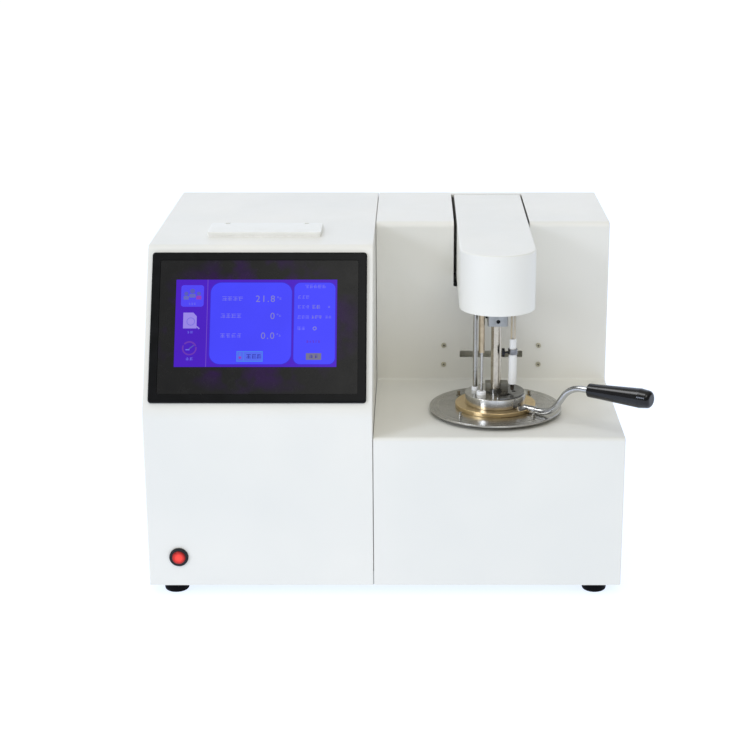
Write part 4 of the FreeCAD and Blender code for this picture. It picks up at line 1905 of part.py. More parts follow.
PIECES = {
    "base_pan": base_pan,
    "feet": feet,
    "left_cover": left_cover,
    "right_cover": right_cover,
    "rear_panel_left": rear_panel_left,
    "rear_panel_right": rear_panel_right,
    "screen_bezel": screen_bezel,
    "touch_glass": touch_glass,
    "display_module": display_module,
    "printer_body": printer_body,
    "paper_roll": paper_roll,
    "printer_cover": printer_cover,
    "platen_roller": platen_roller,
    "button_bezel": button_bezel,
    "button_cap": button_cap,
    "button_switch": button_switch,
    "control_board": control_board,
    "power_supply": power_supply,
    "mains_inlet": mains_inlet,
    "fan_frame": fan_frame,
    "fan_rotor": fan_rotor,
    "fan_guard": fan_guard,
    "bath_tray": bath_tray,
    "bath_block": bath_block,
    "band_heater": band_heater,
    "bath_jacket": bath_jacket,
    "bath_plate": bath_plate,
    "bath_posts": bath_posts,
    "cup": cup,
    "handle_lug": handle_lug,
    "handle_rod": handle_rod,
    "handle_grip": handle_grip,
    "lid": lid,
    "shutter_plate": shutter_plate,
    "shutter_tube": shutter_tube,
    "probe_bosses": probe_bosses,
    "temperature_probe": temperature_probe,
    "flash_detector": flash_detector,
    "head_sleeves": head_sleeves,
    "stirrer": stirrer,
    "igniter_ceramic": igniter_ceramic,
    "igniter_coil": igniter_coil,
    "igniter_push_rod": igniter_push_rod,
    "igniter_lead": igniter_lead,
    "igniter_clip": igniter_clip,
    "clamp_block": clamp_block,
    "head_screws": head_screws,
    "arm_shell": arm_shell,
    "arm_floor": arm_floor,
    "shutter_actuator": shutter_actuator,
    "stirrer_motor": stirrer_motor,
    "igniter_solenoid": igniter_solenoid,
    "lift_frame": lift_frame,
    "lift_rods": lift_rods,
    "lift_motor": lift_motor,
    "lift_screw": lift_screw,
    "lift_carriage": lift_carriage,
    "arm_mast": arm_mast,
    "slot_backing": slot_backing,
    "slot_screws": slot_screws,
}


def bottom_centre(shapes):
    """Middle of the underside of the box round all the pieces."""
    whole = Part.makeCompound(shapes).optimalBoundingBox(False, False)
    print("overall", round(whole.XLength, 2), round(whole.YLength, 2), round(whole.ZLength, 2))
    return Vector((whole.XMin + whole.XMax) / 2, (whole.YMin + whole.YMax) / 2, whole.ZMin)


def main():
    """Builds every piece, moves all to the common origin and writes one file per piece."""
    shapes = {name: make() for name, make in PIECES.items()}
    origin = bottom_centre(list(shapes.values()))
    os.makedirs("parts", exist_ok=True)
    for name, shape in shapes.items():
        shape.translate(Vector(-origin.x, -origin.y, -origin.z))
        shape.exportStep("parts/" + name + ".step")
        print(name, "solids", len(shape.Solids), "valid", shape.isValid(), "volume", round(shape.Volume, 1))
    return origin


ORIGIN = main()
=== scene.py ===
"""Looks of an automatic closed-cup flash point tester, built round its CAD frame.

Lengths given to the classes are millimetres in the housing's own frame (X from its left side, Y from its
front plane, Z up from the bench) or, for the lit picture, millimetres on the sloped panel. Layout turns
them into metres in the frame of the CAD. The lamps and the floor of the studio are given in metres.
"""
from __future__ import annotations

import logging
import math
import random
from dataclasses import dataclass, field
from enum import Enum
from typing import Iterable, Sequence, Union

import bmesh
import bpy
from mathutils import Matrix, Vector

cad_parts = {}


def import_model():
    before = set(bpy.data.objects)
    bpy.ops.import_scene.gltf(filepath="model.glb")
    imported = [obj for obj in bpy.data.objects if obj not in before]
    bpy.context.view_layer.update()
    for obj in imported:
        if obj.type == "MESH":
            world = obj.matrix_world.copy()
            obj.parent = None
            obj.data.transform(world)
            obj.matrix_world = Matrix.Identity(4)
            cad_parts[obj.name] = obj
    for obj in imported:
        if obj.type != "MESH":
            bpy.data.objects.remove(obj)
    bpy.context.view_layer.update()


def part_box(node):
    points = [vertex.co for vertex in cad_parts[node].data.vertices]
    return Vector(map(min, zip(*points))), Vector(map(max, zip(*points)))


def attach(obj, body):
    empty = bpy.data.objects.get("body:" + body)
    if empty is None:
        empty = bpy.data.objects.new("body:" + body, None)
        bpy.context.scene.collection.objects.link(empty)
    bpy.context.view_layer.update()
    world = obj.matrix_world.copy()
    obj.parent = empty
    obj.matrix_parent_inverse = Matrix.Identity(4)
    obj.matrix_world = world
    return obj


LOG = logging.getLogger("tester")
MM = 0.001
SHARP_ANGLE = math.radians(40)
Point = tuple[float, float]
Place = tuple[float, float, float]
Shape = bmesh.types.BMesh
Corner = bmesh.types.BMVert
Source = Union[bpy.types.Node, bpy.types.NodeSocket, float, Sequence[float]]
Inputs = dict[Union[int, str], Source]


def srgb(code: str) -> tuple[float, float, float, float]:
    """Linear colour of an sRGB hex code.

    Args:
        code: six hex digits after a hash sign.
    Returns:
        red, green, blue and a full alpha.
    """
    values = [int(code[i:i + 2], 16) / 255 for i in (1, 3, 5)]
    linear = [v / 12.92 if v <= 0.04045 else ((v + 0.055) / 1.055) ** 2.4 for v in values]
    return linear[0], linear[1], linear[2], 1.0


class Body(str, Enum):
    """CAD bodies that pieces ride on."""

    HOUSING = "housing"
    IGNITER = "igniter_unit"


class Slot(str, Enum):
    """Material slots of the record."""

    GREY = "grey_steel"
    BRIGHT = "bright_steel"
    DARK = "dark_steel"
    GLASS = "glass"
    WHITE = "white_plastic"


class Nodes:
    """A node tree that one small function fills.

    A MapRange takes a value as input 0, its range as 1 and 2, and the result's range as 3 and 4. A Mix takes
    the share of the second as 0, and two numbers as 2 and 3 or two colours as 6 and 7.
    """

    def __init__(self, tree: bpy.types.NodeTree) -> None:
        """Takes over a node tree and empties it."""
        self.tree = tree
        tree.nodes.clear()

    def add(self, kind: str, inputs: Inputs | None = None, **settings: str) -> bpy.types.Node:
        """Adds one node with its settings and links.

        Args:
            kind: the node's type name after its first word, ShaderNode.
            inputs: what feeds its inputs.
            settings: attributes of the node.
        Returns:
            the node.
        """
        node = self.tree.nodes.new("ShaderNode" + kind)
        for key, value in settings.items():
            setattr(node, key, value)
        self.feed(node, inputs or {})
        return node

    def feed(self, node: bpy.types.Node, inputs: Inputs) -> None:
        """Links a node's inputs to other nodes, or stores constants on them.

        Args:
            node: the node.
            inputs: input name or number to a constant, an output, or a node for its output in use.
        """
        for key, value in inputs.items():
            if isinstance(value, bpy.types.Node):
                value = next(output for output in value.outputs if output.enabled)
            if isinstance(value, bpy.types.NodeSocket):
                self.tree.links.new(value, node.inputs[key])
            else:
                node.inputs[key].default_value = value


class Graph(Nodes):
    """Nodes of one material: its shader, the position on the object, and patterns of several nodes."""

    def __init__(self, name: str) -> None:
        """Makes a material with a principled shader.

        Args:
            name: the material's name.
        """
        self.material = bpy.data.materials.new(name)
        self.material.use_nodes = True
        super().__init__(self.material.node_tree)
        self.shader = self.add("BsdfPrincipled")
        self.add("OutputMaterial", {"Surface": self.shader})
        self.place = self.add("TexCoord").outputs["Object"]

    def surface(self, **values: Source) -> None:
        """Feeds inputs of the principled shader; underscores in their names stand for spaces."""
        self.feed(self.shader, {key.replace("_", " "): value for key, value in values.items()})

    def cells(self, size_mm: float, detail: float = 3.0, roughness: float = 0.55,
              where: Source | None = None) -> Inputs:
        """Inputs that give a noise cells of a real size, at the object's own place or another."""
        return {"Vector": where or self.place, "Scale": 1000.0 / size_mm, "Detail": detail,
                "Roughness": roughness}

    def wave(self, length: Source, pitch_mm: float) -> bpy.types.Node:
        """Sine wave along a length in metres, with the pitch from crest to crest."""
        angle = self.add("Math", {0: length, 1: math.tau / (pitch_mm * MM)}, operation="MULTIPLY")
        return self.add("Math", {0: angle}, operation="SINE")

    def tones(self, grey: Source, colour: str, second: str, start: float, end: float,
              most: float = 1.0) -> bpy.types.Node:
        """Colour that takes on up to most of the second tone while the grey runs from start to end."""
        share = self.add("MapRange", {0: grey, 1: start, 2: end, 4: most})
        return self.add("Mix", {0: share, 6: srgb(colour), 7: srgb(second)}, data_type="RGBA")

    def distance(self, centre: Place, plane: Place = (1.0, 1.0, 0.0)) -> bpy.types.Node:
        """Distance in metres from a centre.

        Args:
            centre: the centre, in metres.
            plane: weight of each direction; a zero leaves one out.
        Returns:
            the node that gives it.
        """
        moved = self.add("VectorMath", {0: self.place, 1: centre}, operation="SUBTRACT")
        flat = self.add("VectorMath", {0: moved, 1: plane}, operation="MULTIPLY")
        return self.add("VectorMath", {0: flat}, operation="LENGTH")


@dataclass(frozen=True)
class Finish:
    """A named finish that can build its material."""

    name: str

    def build(self) -> bpy.types.Material:
        """Makes the material.

        Returns:
            the finished material.
        """
        graph = Graph(self.name)
        self.paint(graph)
        return graph.material

    def paint(self, graph: Graph) -> None:
        """Fills the material's nodes."""
        raise NotImplementedError


@dataclass(frozen=True)
class PowderCoat(Finish):
    """Powder-coated sheet steel: fine orange peel and slow tone changes give a soft, uneven sheen."""

    colour: str = "#EAE9E2"
    low_colour: str = "#E5E5DF"
    peel_mm: float = 1.1
    depth_mm: float = 0.012
    roughness: float = 0.42

    def paint(self, graph: Graph) -> None:
        """Paints the powder coat.

        Args:
            graph: the material's nodes.
        """
        slow = graph.add("TexNoise", graph.cells(140.0, 2.0))
        tone = graph.tones(slow, self.colour, self.low_colour, 0.35, 0.65)
        peel = graph.add("TexNoise", graph.cells(self.peel_mm, 2.0, 0.4))
        peeled = graph.add("Bump", {"Height": peel, "Distance": self.depth_mm * MM})
        grain = graph.add("TexNoise", graph.cells(0.25, 1.0))
        normal = graph.add("Bump", {"Height": grain, "Distance": self.depth_mm / 3 * MM, "Strength": 0.5,
                                    "Normal": peeled})
        sheen = graph.add("TexNoise", graph.cells(18.0, 4.0))
        rough = graph.add("MapRange", {0: sheen, 1: 0.3, 2: 0.7, 3: self.roughness - 0.04,
                                       4: self.roughness + 0.05})
        graph.surface(Base_Color=tone, Roughness=rough, Normal=normal, Specular_IOR_Level=0.35)


@dataclass(frozen=True)
class TurnedMetal(Finish):
    """Lathe-turned metal: fine rings round an axis catch the light in arcs, with faint stains."""

    colour: str = "#A9A9A6"
    stain: str = "#8A8986"
    centre: Place = (0.0, 0.0, 0.0)
    # Real feed marks are about 0.1 mm apart, too fine to show, so the rings are drawn coarser.
    pitch_mm: float = 0.35
    roughness: float = 0.28
    depth_mm: float = 0.006

    def paint(self, graph: Graph) -> None:
        """Paints the turned metal.

        Args:
            graph: the material's nodes.
        """
        radius = graph.distance(self.centre)
        rings = graph.add("Math", {0: graph.wave(radius, self.pitch_mm), 1: 0.35}, operation="MULTIPLY")
        line = graph.add("CombineXYZ", {0: radius})
        coarse = graph.add("TexNoise", graph.cells(0.9, 4.0, 0.7, line))
        height = graph.add("Math", {0: rings, 1: coarse}, operation="ADD")
        stains = graph.add("TexNoise", graph.cells(9.0, 5.0, 0.6))
        tone = graph.tones(stains, self.colour, self.stain, 0.42, 0.68, 0.7)
        uneven = graph.add("MapRange", {0: coarse, 1: 0.3, 2: 0.7, 3: -0.07, 4: 0.09})
        rough = graph.add("Math", {0: uneven, 1: self.roughness}, operation="ADD")
        normal = graph.add("Bump", {"Height": height, "Distance": self.depth_mm * MM})
        graph.surface(Base_Color=tone, Metallic=1.0, Roughness=rough, Normal=normal)


@dataclass(frozen=True)
class PolishedSteel(Finish):
    """Polished stainless steel: nearly a mirror, with handling smudges that dull it in places."""

    colour: str = "#C9CACB"
    roughness: float = 0.12
    smudge_mm: float = 7.0

    def paint(self, graph: Graph) -> None:
        """Paints the polished steel.

        Args:
            graph: the material's nodes.
        """
        smudge = graph.add("TexNoise", graph.cells(self.smudge_mm, 5.0, 0.65))
        rough = graph.add("MapRange", {0: smudge, 1: 0.35, 2: 0.75, 3: self.roughness - 0.03,
                                       4: self.roughness + 0.14})
        tone = graph.tones(smudge, self.colour, "#A9AAAB", 0.45, 0.75, 0.5)
        ripple = graph.add("TexNoise", graph.cells(0.5))
        normal = graph.add("Bump", {"Height": ripple, "Distance": 0.002 * MM})
        graph.surface(Base_Color=tone, Metallic=1.0, Roughness=rough, Normal=normal)


@dataclass(frozen=True)
class DrawnMetal(Finish):
    """Mill-finished or brushed metal: streaks along one axis."""

    colour: str = "#A3A5A7"
    axis: int = 2
    roughness: float = 0.36
    # Real streaks are about 0.05 mm wide, too fine to show, so they are drawn coarser.
    streak_mm: float = 0.4

    def paint(self, graph: Graph) -> None:
        """Paints the brushed metal.

        Args:
            graph: the material's nodes.
        """
        stretch = [1.0, 1.0, 1.0]
        stretch[self.axis] = 0.03
        drawn = graph.add("VectorMath", {0: graph.place, 1: stretch}, operation="MULTIPLY")
        streak = graph.add("TexNoise", graph.cells(self.streak_mm, 4.0, 0.7, drawn))
        tone = graph.tones(streak, self.colour, "#7F8183", 0.3, 0.75, 0.6)
        rough = graph.add("MapRange", {0: streak, 1: 0.3, 2: 0.7, 3: self.roughness - 0.08,
                                       4: self.roughness + 0.1})
        normal = graph.add("Bump", {"Height": streak, "Distance": 0.006 * MM})
        graph.surface(Base_Color=tone, Metallic=1.0, Roughness=rough, Normal=normal)


@dataclass(frozen=True)
class GritBlasted(Finish):
    """Blasted aluminium or rough casting: an even matt grit."""

    colour: str = "#B9BABB"
    dark: str = "#9C9D9E"
    # Real grit leaves pits of about 0.1 mm, too fine to show, so they are drawn coarser.
    grit_mm: float = 0.3
    depth_mm: float = 0.02
    roughness: float = 0.55
    metallic: float = 1.0

    def paint(self, graph: Graph) -> None:
        """Paints the blasted metal.

        Args:
            graph: the material's nodes.
        """
        grit = graph.add("TexNoise", graph.cells(self.grit_mm, 3.0, 0.6))
        patches = graph.add("TexNoise", graph.cells(6.0, 4.0))
        tone = graph.tones(patches, self.colour, self.dark, 0.35, 0.7)
        rough = graph.add("MapRange", {0: grit, 1: 0.3, 2: 0.7, 3: self.roughness - 0.08,
                                       4: self.roughness + 0.1})
        normal = graph.add("Bump", {"Height": grit, "Distance": self.depth_mm * MM})
        graph.surface(Base_Color=tone, Metallic=self.metallic, Roughness=rough, Normal=normal)


@dataclass(frozen=True)
class Metal:
    """One of the two metals of a parted node."""

    colour: str
    second: str
    roughness: float


@dataclass(frozen=True)
class PartedMetal(Finish):
    """Two metals on one node: turned rings on the first and fine grit on both tell the parts apart."""

    first: Metal
    second: Metal
    axis: Place
    beyond_mm: float
    above: float = -1.0
    whole_above: float = 10.0
    # Real feed marks and grit are about 0.1 mm, too fine to show, so both are drawn coarser.
    ring_mm: float = 0.4
    grit_mm: float = 0.3

    def paint(self, graph: Graph) -> None:
        """Paints the two metals; the second lies beyond a distance from the axis and above a height.

        Args:
            graph: the material's nodes.
        """
        away = graph.distance(self.axis)
        height = graph.add("SeparateXYZ", {0: graph.place}).outputs["Z"]
        outside, over, top = (graph.add("Math", {0: value, 1: limit}, operation="GREATER_THAN")
                              for value, limit in ((away, self.beyond_mm * MM), (height, self.above),
                                                   (height, self.whole_above)))
        raised = graph.add("Math", {0: outside, 1: over}, operation="MULTIPLY")
        mask = graph.add("Math", {0: raised, 1: top}, operation="MAXIMUM")
        stains = graph.add("TexNoise", graph.cells(6.0, 5.0, 0.6))
        first, second = (graph.tones(stains, metal.colour, metal.second, 0.42, 0.68, 0.7)
                         for metal in (self.first, self.second))
        tone = graph.add("Mix", {0: mask, 6: first, 7: second}, data_type="RGBA")
        depth = graph.add("MapRange", {0: mask, 3: 0.3, 4: 0.0})
        rings = graph.add("Math", {0: graph.wave(away, self.ring_mm), 1: depth}, operation="MULTIPLY")
        grit = graph.add("TexNoise", graph.cells(self.grit_mm))
        relief = graph.add("Math", {0: rings, 1: grit}, operation="ADD")
        even = graph.add("MapRange", {0: mask, 3: self.first.roughness, 4: self.second.roughness})
        uneven = graph.add("MapRange", {0: grit, 1: 0.3, 2: 0.7, 3: -0.05, 4: 0.08})
        rough = graph.add("Math", {0: even, 1: uneven}, operation="ADD")
        normal = graph.add("Bump", {"Height": relief, "Distance": 0.008 * MM})
        graph.surface(Base_Color=tone, Metallic=1.0, Roughness=rough, Normal=normal)


@dataclass(frozen=True)
class Plastic(Finish):
    """Moulded plastic or rubber: fine grain, slight tone changes, optional clear gloss."""

    colour: str = "#101012"
    second: str = "#18181A"
    roughness: float = 0.5
    # The real grain of a mould is about 0.1 mm, too fine to show, so it is drawn coarser.
    grain_mm: float = 0.4
    depth_mm: float = 0.006
    coat: float = 0.0
    specular: float = 0.5

    def paint(self, graph: Graph) -> None:
        """Paints the plastic.

        Args:
            graph: the material's nodes.
        """
        slow = graph.add("TexNoise", graph.cells(12.0, 4.0))
        tone = graph.tones(slow, self.colour, self.second, 0.35, 0.7)
        rough = graph.add("MapRange", {0: slow, 3: self.roughness - 0.03, 4: self.roughness + 0.05})
        grain = graph.add("TexNoise", graph.cells(self.grain_mm))
        normal = graph.add("Bump", {"Height": grain, "Distance": self.depth_mm * MM})
        graph.surface(Base_Color=tone, Roughness=rough, Normal=normal, Coat_Weight=self.coat,
                      Coat_Roughness=0.06, Specular_IOR_Level=self.specular)


@dataclass(frozen=True)
class FiredCeramic(Finish):
    """Unglazed technical ceramic: chalky white, pores, and a faint scorch towards its lower end."""

    low_z: float = 0.0
    high_z: float = 0.05

    def paint(self, graph: Graph) -> None:
        """Paints the ceramic.

        Args:
            graph: the material's nodes.
        """
        height = graph.add("SeparateXYZ", {0: graph.place}).outputs["Z"]
        scorch = graph.add("MapRange", {0: height, 1: self.low_z, 2: self.high_z, 3: 0.55, 4: 0.0})
        clouds = graph.add("TexNoise", graph.cells(2.5, 4.0))
        uneven = graph.add("MapRange", {0: clouds, 1: 0.3, 2: 0.7, 3: 0.3})
        mottled = graph.add("Math", {0: scorch, 1: uneven}, operation="MULTIPLY")
        tone = graph.add("Mix", {0: mottled, 6: srgb("#E8E8E5"), 7: srgb("#C4BFB5")}, data_type="RGBA")
        # Real pores are about 0.05 mm wide, too fine to show, so they are drawn coarser.
        pores = graph.add("TexNoise", graph.cells(0.35, 4.0, 0.7))
        normal = graph.add("Bump", {"Height": pores, "Distance": 0.015 * MM})
        graph.surface(Base_Color=tone, Roughness=0.62, Normal=normal, Subsurface_Weight=0.05,
                      Subsurface_Radius=(0.001, 0.001, 0.0008))


@dataclass(frozen=True)
class PanelGlass(Finish):
    """Black-printed cover glass: deep gloss, a trace of fingerprints and a painted glow that turns violet
    round the display.
    """

    centre: Place = (0.0, 0.0, 0.0)
    reach: float = 0.1

    def paint(self, graph: Graph) -> None:
        """Paints the cover glass.

        Args:
            graph: the material's nodes.
        """
        away = graph.distance(self.centre, (1.0, 0.6, 1.6))
        near = graph.add("MapRange", {0: away, 1: self.reach * 0.75, 2: self.reach, 3: 0.5, 4: 0.0})
        cloud = graph.add("MapRange", {0: graph.add("TexNoise", graph.cells(24.0, 2.0)), 1: 0.45, 2: 0.62})
        # Painted glow: the glass gives off light of its own, faint grey all over and in violet clouds round
        # the display.
        painted_glow = graph.add("Math", {0: near, 1: cloud}, operation="MULTIPLY")
        tone = graph.add("Mix", {0: painted_glow, 6: srgb("#1A1A1A"), 7: srgb("#2C0348")}, data_type="RGBA")
        prints = graph.add("TexNoise", graph.cells(16.0, 5.0, 0.7))
        rough = graph.add("MapRange", {0: prints, 1: 0.35, 2: 0.75, 3: 0.2, 4: 0.34})
        graph.surface(Base_Color=tone, Roughness=rough, Specular_IOR_Level=0.15, Emission_Color=tone,
                      Emission_Strength=0.2)


@dataclass(frozen=True)
class GlowLens(Finish):
    """Red lens with a lamp behind it: bright in the middle, deep red towards its rim, softly glossy."""

    centre: Place = (0.0, 0.0, 0.0)
    radius_mm: float = 6.4
    middle: str = "#FF4438"
    rim: str = "#8E1713"

    def paint(self, graph: Graph) -> None:
        """Paints the lens.

        Args:
            graph: the material's nodes.
        """
        radius = self.radius_mm * MM
        away = graph.distance(self.centre, (1.0, 0.0, 1.0))
        fade = graph.add("MapRange", {0: away, 1: radius * 0.2, 2: radius})
        clouds = graph.add("TexNoise", graph.cells(2.5))
        uneven = graph.add("MapRange", {0: clouds, 1: 0.3, 2: 0.7, 3: -0.08, 4: 0.08})
        share = graph.add("Math", {0: fade, 1: uneven}, operation="ADD")
        tone = graph.add("Mix", {0: share, 6: srgb(self.middle), 7: srgb(self.rim)}, data_type="RGBA")
        ripple = graph.add("TexNoise", graph.cells(0.8, 2.0))
        normal = graph.add("Bump", {"Height": ripple, "Distance": 0.004 * MM})
        glow = graph.add("MapRange", {0: fade, 3: 0.4, 4: 0.02})
        graph.surface(Base_Color=tone, Roughness=0.3, Normal=normal, Specular_IOR_Level=0.3,
                      Emission_Color=tone, Emission_Strength=glow)


@dataclass(frozen=True)
class LitInk(Finish):
    """One lit colour of the display: emission with a fine dot grid and a slow brightness change."""

    colour: str = "#4646FF"
    strength: float = 1.0
    # The dots of a display of this size are about 0.19 mm apart, too fine to show, so they are drawn coarser.
    dot_mm: float = 0.32

    def paint(self, graph: Graph) -> None:
        """Paints the lit colour.

        Args:
            graph: the material's nodes.
        """
        across, _, up = graph.add("SeparateXYZ", {0: graph.place}).outputs
        columns, rows = (graph.wave(length, self.dot_mm) for length in (across, up))
        dots = graph.add("Math", {0: columns, 1: rows}, operation="ADD")
        grid = graph.add("MapRange", {0: dots, 1: -2.0, 2: 2.0, 3: 0.92, 4: 1.04})
        clouds = graph.add("TexNoise", graph.cells(60.0, 2.0))
        slow = graph.add("MapRange", {0: clouds, 1: 0.3, 2: 0.7, 3: 0.94, 4: 1.05})
        level = graph.add("Math", {0: grid, 1: slow}, operation="MULTIPLY")
        glow = graph.add("Math", {0: level, 1: self.strength}, operation="MULTIPLY")
        graph.surface(Base_Color=srgb("#0A0A10"), Roughness=0.25, Specular_IOR_Level=0.12,
                      Emission_Color=srgb(self.colour), Emission_Strength=glow)


@dataclass(frozen=True)
class CircuitBoard(Finish):
    """Lacquered circuit board: green with copper-coloured tracks under the lacquer."""

    def paint(self, graph: Graph) -> None:
        """Paints the board.

        Args:
            graph: the material's nodes.
        """
        tracks = {"Vector": graph.place, "Scale": 90.0, "Mortar Size": 0.03, "Color1": srgb("#0E5A32"),
                  "Color2": srgb("#0B4A2A"), "Mortar": srgb("#2F8A55")}
        cells = graph.add("TexBrick", tracks).outputs
        normal = graph.add("Bump", {"Height": cells["Fac"], "Distance": 0.03 * MM})
        graph.surface(Base_Color=cells["Color"], Roughness=0.35, Coat_Weight=0.4, Normal=normal)


@dataclass(frozen=True)
class Fibre(Finish):
    """Paper or mineral fibre: tangled short fibres with a soft matt face."""

    colour: str = "#EFEFEA"
    second: str = "#DADAD2"
    # Single fibres are about 0.02 mm thick, too fine to show, so their tangles are drawn.
    fibre_mm: float = 0.6
    depth_mm: float = 0.02

    def paint(self, graph: Graph) -> None:
        """Paints the fibrous material.

        Args:
            graph: the material's nodes.
        """
        stretched = graph.add("VectorMath", {0: graph.place, 1: (1.0, 0.2, 1.0)}, operation="MULTIPLY")
        fibres = graph.add("TexNoise", graph.cells(self.fibre_mm, 5.0, 0.7, stretched))
        tone = graph.tones(fibres, self.colour, self.second, 0.35, 0.7)
        normal = graph.add("Bump", {"Height": fibres, "Distance": self.depth_mm * MM})
        graph.surface(Base_Color=tone, Roughness=0.9, Normal=normal)


@dataclass(frozen=True)
class WovenSleeve(Finish):
    """Braided glass sleeve of a lead: crossed diagonal threads."""

    colour: str = "#D6C9B0"
    second: str = "#B3A383"
    # Real threads are about 0.2 mm wide, too fine to show, so they are drawn coarser.
    thread_mm: float = 0.6

    def paint(self, graph: Graph) -> None:
        """Paints the braid.

        Args:
            graph: the material's nodes.
        """
        x, y, z = graph.add("SeparateXYZ", {0: graph.place}).outputs
        turn = graph.add("Math", {0: x, 1: y}, operation="ADD")
        left, right = (graph.wave(graph.add("Math", {0: z, 1: turn}, operation=way), self.thread_mm)
                       for way in ("ADD", "SUBTRACT"))
        crossed = graph.add("Math", {0: left, 1: right}, operation="MULTIPLY")
        weave = graph.add("MapRange", {0: crossed, 1: -1.0})
        tone = graph.add("Mix", {0: weave, 6: srgb(self.colour), 7: srgb(self.second)}, data_type="RGBA")
        normal = graph.add("Bump", {"Height": weave, "Distance": 0.1 * MM})
        graph.surface(Base_Color=tone, Roughness=0.75, Normal=normal)


@dataclass(frozen=True)
class StageFloor(Finish):
    """Plain pale studio paper."""

    def paint(self, graph: Graph) -> None:
        """Paints the floor.

        Args:
            graph: the material's nodes.
        """
        slow = graph.add("TexNoise", graph.cells(400.0, 2.0))
        tone = graph.add("Mix", {0: slow, 6: srgb("#92979E"), 7: srgb("#8E939A")}, data_type="RGBA")
        tooth = graph.add("TexNoise", graph.cells(1.5))
        normal = graph.add("Bump", {"Height": tooth, "Distance": 0.01 * MM})
        graph.surface(Base_Color=tone, Roughness=0.85, Normal=normal, Specular_IOR_Level=0.1,
                      Emission_Color=srgb("#E4EDFF"), Emission_Strength=1.02)


@dataclass
class Layout:
    """Turns the housing's millimetres into the CAD frame's metres."""

    head_x: float = 336.2
    head_y: float = 83.0
    table_top: float = 160.4
    housing_bottom: float = 10.0
    front_break: float = 175.3
    panel_setback: float = 83.9
    panel_rise: float = 142.7
    origin: Vector = field(default_factory=Vector)

    def __post_init__(self) -> None:
        """Finds the frame's origin from the bath's disc, which is round about the head's axis."""
        low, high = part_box("bath_plate")
        middle = (low + high) / 2
        self.origin = Vector((self.head_x * MM - middle.x, self.head_y * MM - middle.y, 0.0))

    def at(self, x: float, y: float, z: float) -> Vector:
        """Point in the CAD's metres, from millimetres right of the left side, behind the front and up."""
        return Vector((x, y, z)) * MM - self.origin

    def head(self, x: float, y: float, z: float) -> Vector:
        """Point in the CAD's metres, from millimetres off the head's axis and over the table's top."""
        return self.at(self.head_x + x, self.head_y + y, self.table_top + z)

    def axis(self, x: float = 0.0, y: float = 0.0) -> Place:
        """Foot of an upright axis, so far from the head's own, in the CAD's metres."""
        return tuple(self.head(x, y, 0.0))

    def level(self, height: float) -> float:
        """Height above the table's top in the CAD's metres."""
        return self.head(0.0, 0.0, height).z

    def panel(self) -> Matrix:
        """Frame of the sloped panel: X, up the slope, outwards, in metres.

        Returns:
            the matrix from the panel's frame to the CAD's.
        """
        tilt = math.atan2(self.panel_setback, self.panel_rise)
        up = Vector((0.0, math.sin(tilt), math.cos(tilt)))
        out = Vector((0.0, -math.cos(tilt), math.sin(tilt)))
        turn = Matrix((Vector((1.0, 0.0, 0.0)), up, out)).transposed().to_4x4()
        return Matrix.Translation(self.at(0.0, 0.0, self.housing_bottom + self.front_break)) @ turn


class Maker:
    """Builds pieces from meshes, dresses them and lets them ride on a body."""

    def __init__(self) -> None:
        """Starts with no materials built."""
        self.materials: dict[Finish, bpy.types.Material] = {}
        self.count = 0

    def material(self, finish: Finish) -> bpy.types.Material:
        """Material of a finish, built once.

        Args:
            finish: the finish.
        Returns:
            the material.
        """
        if finish not in self.materials:
            self.materials[finish] = finish.build()
        return self.materials[finish]

    def dress(self, node: str, finish: Finish) -> None:
        """Gives a CAD node its finish.

        Args:
            node: the node's name.
            finish: the finish.
        """
        obj = bpy.data.objects[node]
        obj.data.materials.clear()
        obj.data.materials.append(self.material(finish))
        LOG.info("dressed %s in %s", node, finish.name)

    def dress_all(self, finishes: dict[str, Finish]) -> None:
        """Gives each of several CAD nodes its finish."""
        for node, finish in finishes.items():
            self.dress(node, finish)

    def piece(self, name: str, shape: Shape, body: Body, finish: Finish, slot: Slot,
              smooth: bool = False) -> bpy.types.Object:
        """Makes one piece out of a bmesh that is already in place.

        Args:
            name: the piece's name.
            shape: the geometry in metres; it is freed.
            body: the CAD body that it rides on.
            finish: its finish.
            slot: the record's slot that the finish follows; not used.
            smooth: whether curved faces are shaded smooth.
        Returns:
            the object.
        """
        mesh = bpy.data.meshes.new(name)
        bmesh.ops.recalc_face_normals(shape, faces=shape.faces)
        shape.to_mesh(mesh)
        shape.free()
        obj = bpy.data.objects.new(name, mesh)
        bpy.context.scene.collection.objects.link(obj)
        mesh.materials.append(self.material(finish))
        if smooth:
            mesh.polygons.foreach_set("use_smooth", [True] * len(mesh.polygons))
            mesh.set_sharp_from_angle(angle=SHARP_ANGLE)
        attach(obj, body.value)
        self.count += 1
        LOG.info("piece %s: %d faces on %s", name, len(mesh.polygons), body.value)
        return obj


def rounded_rectangle(x0: float, x1: float, y0: float, y1: float, radius: float,
                      steps: int = 6) -> list[Point]:
    """Outline of a rectangle with round corners.

    Args:
        x0: left.
        x1: right.
        y0: bottom.
        y1: top.
        radius: corner radius.
        steps: segments in each corner.
    Returns:
        points anticlockwise.
    """
    points: list[Point] = []
    for cx, cy, start in ((x1 - radius, y1 - radius, 0), (x0 + radius, y1 - radius, 90),
                          (x0 + radius, y0 + radius, 180), (x1 - radius, y0 + radius, 270)):
        for i in range(steps + 1):
            angle = math.radians(start + 90 * i / steps)
            points.append((cx + radius * math.cos(angle), cy + radius * math.sin(angle)))
    return points


def circle(x: float, y: float, radius: float, steps: int = 32) -> list[Point]:
    """Outline of a circle round a centre, anticlockwise."""
    return [(x + radius * math.cos(math.tau * i / steps), y + radius * math.sin(math.tau * i / steps))
            for i in range(steps)]


def add_point(shape: Shape, where: Matrix, x: float, y: float, z: float) -> Corner:
    """Adds a point given in a frame's millimetres."""
    return shape.verts.new(where @ Vector((x * MM, y * MM, z * MM)))


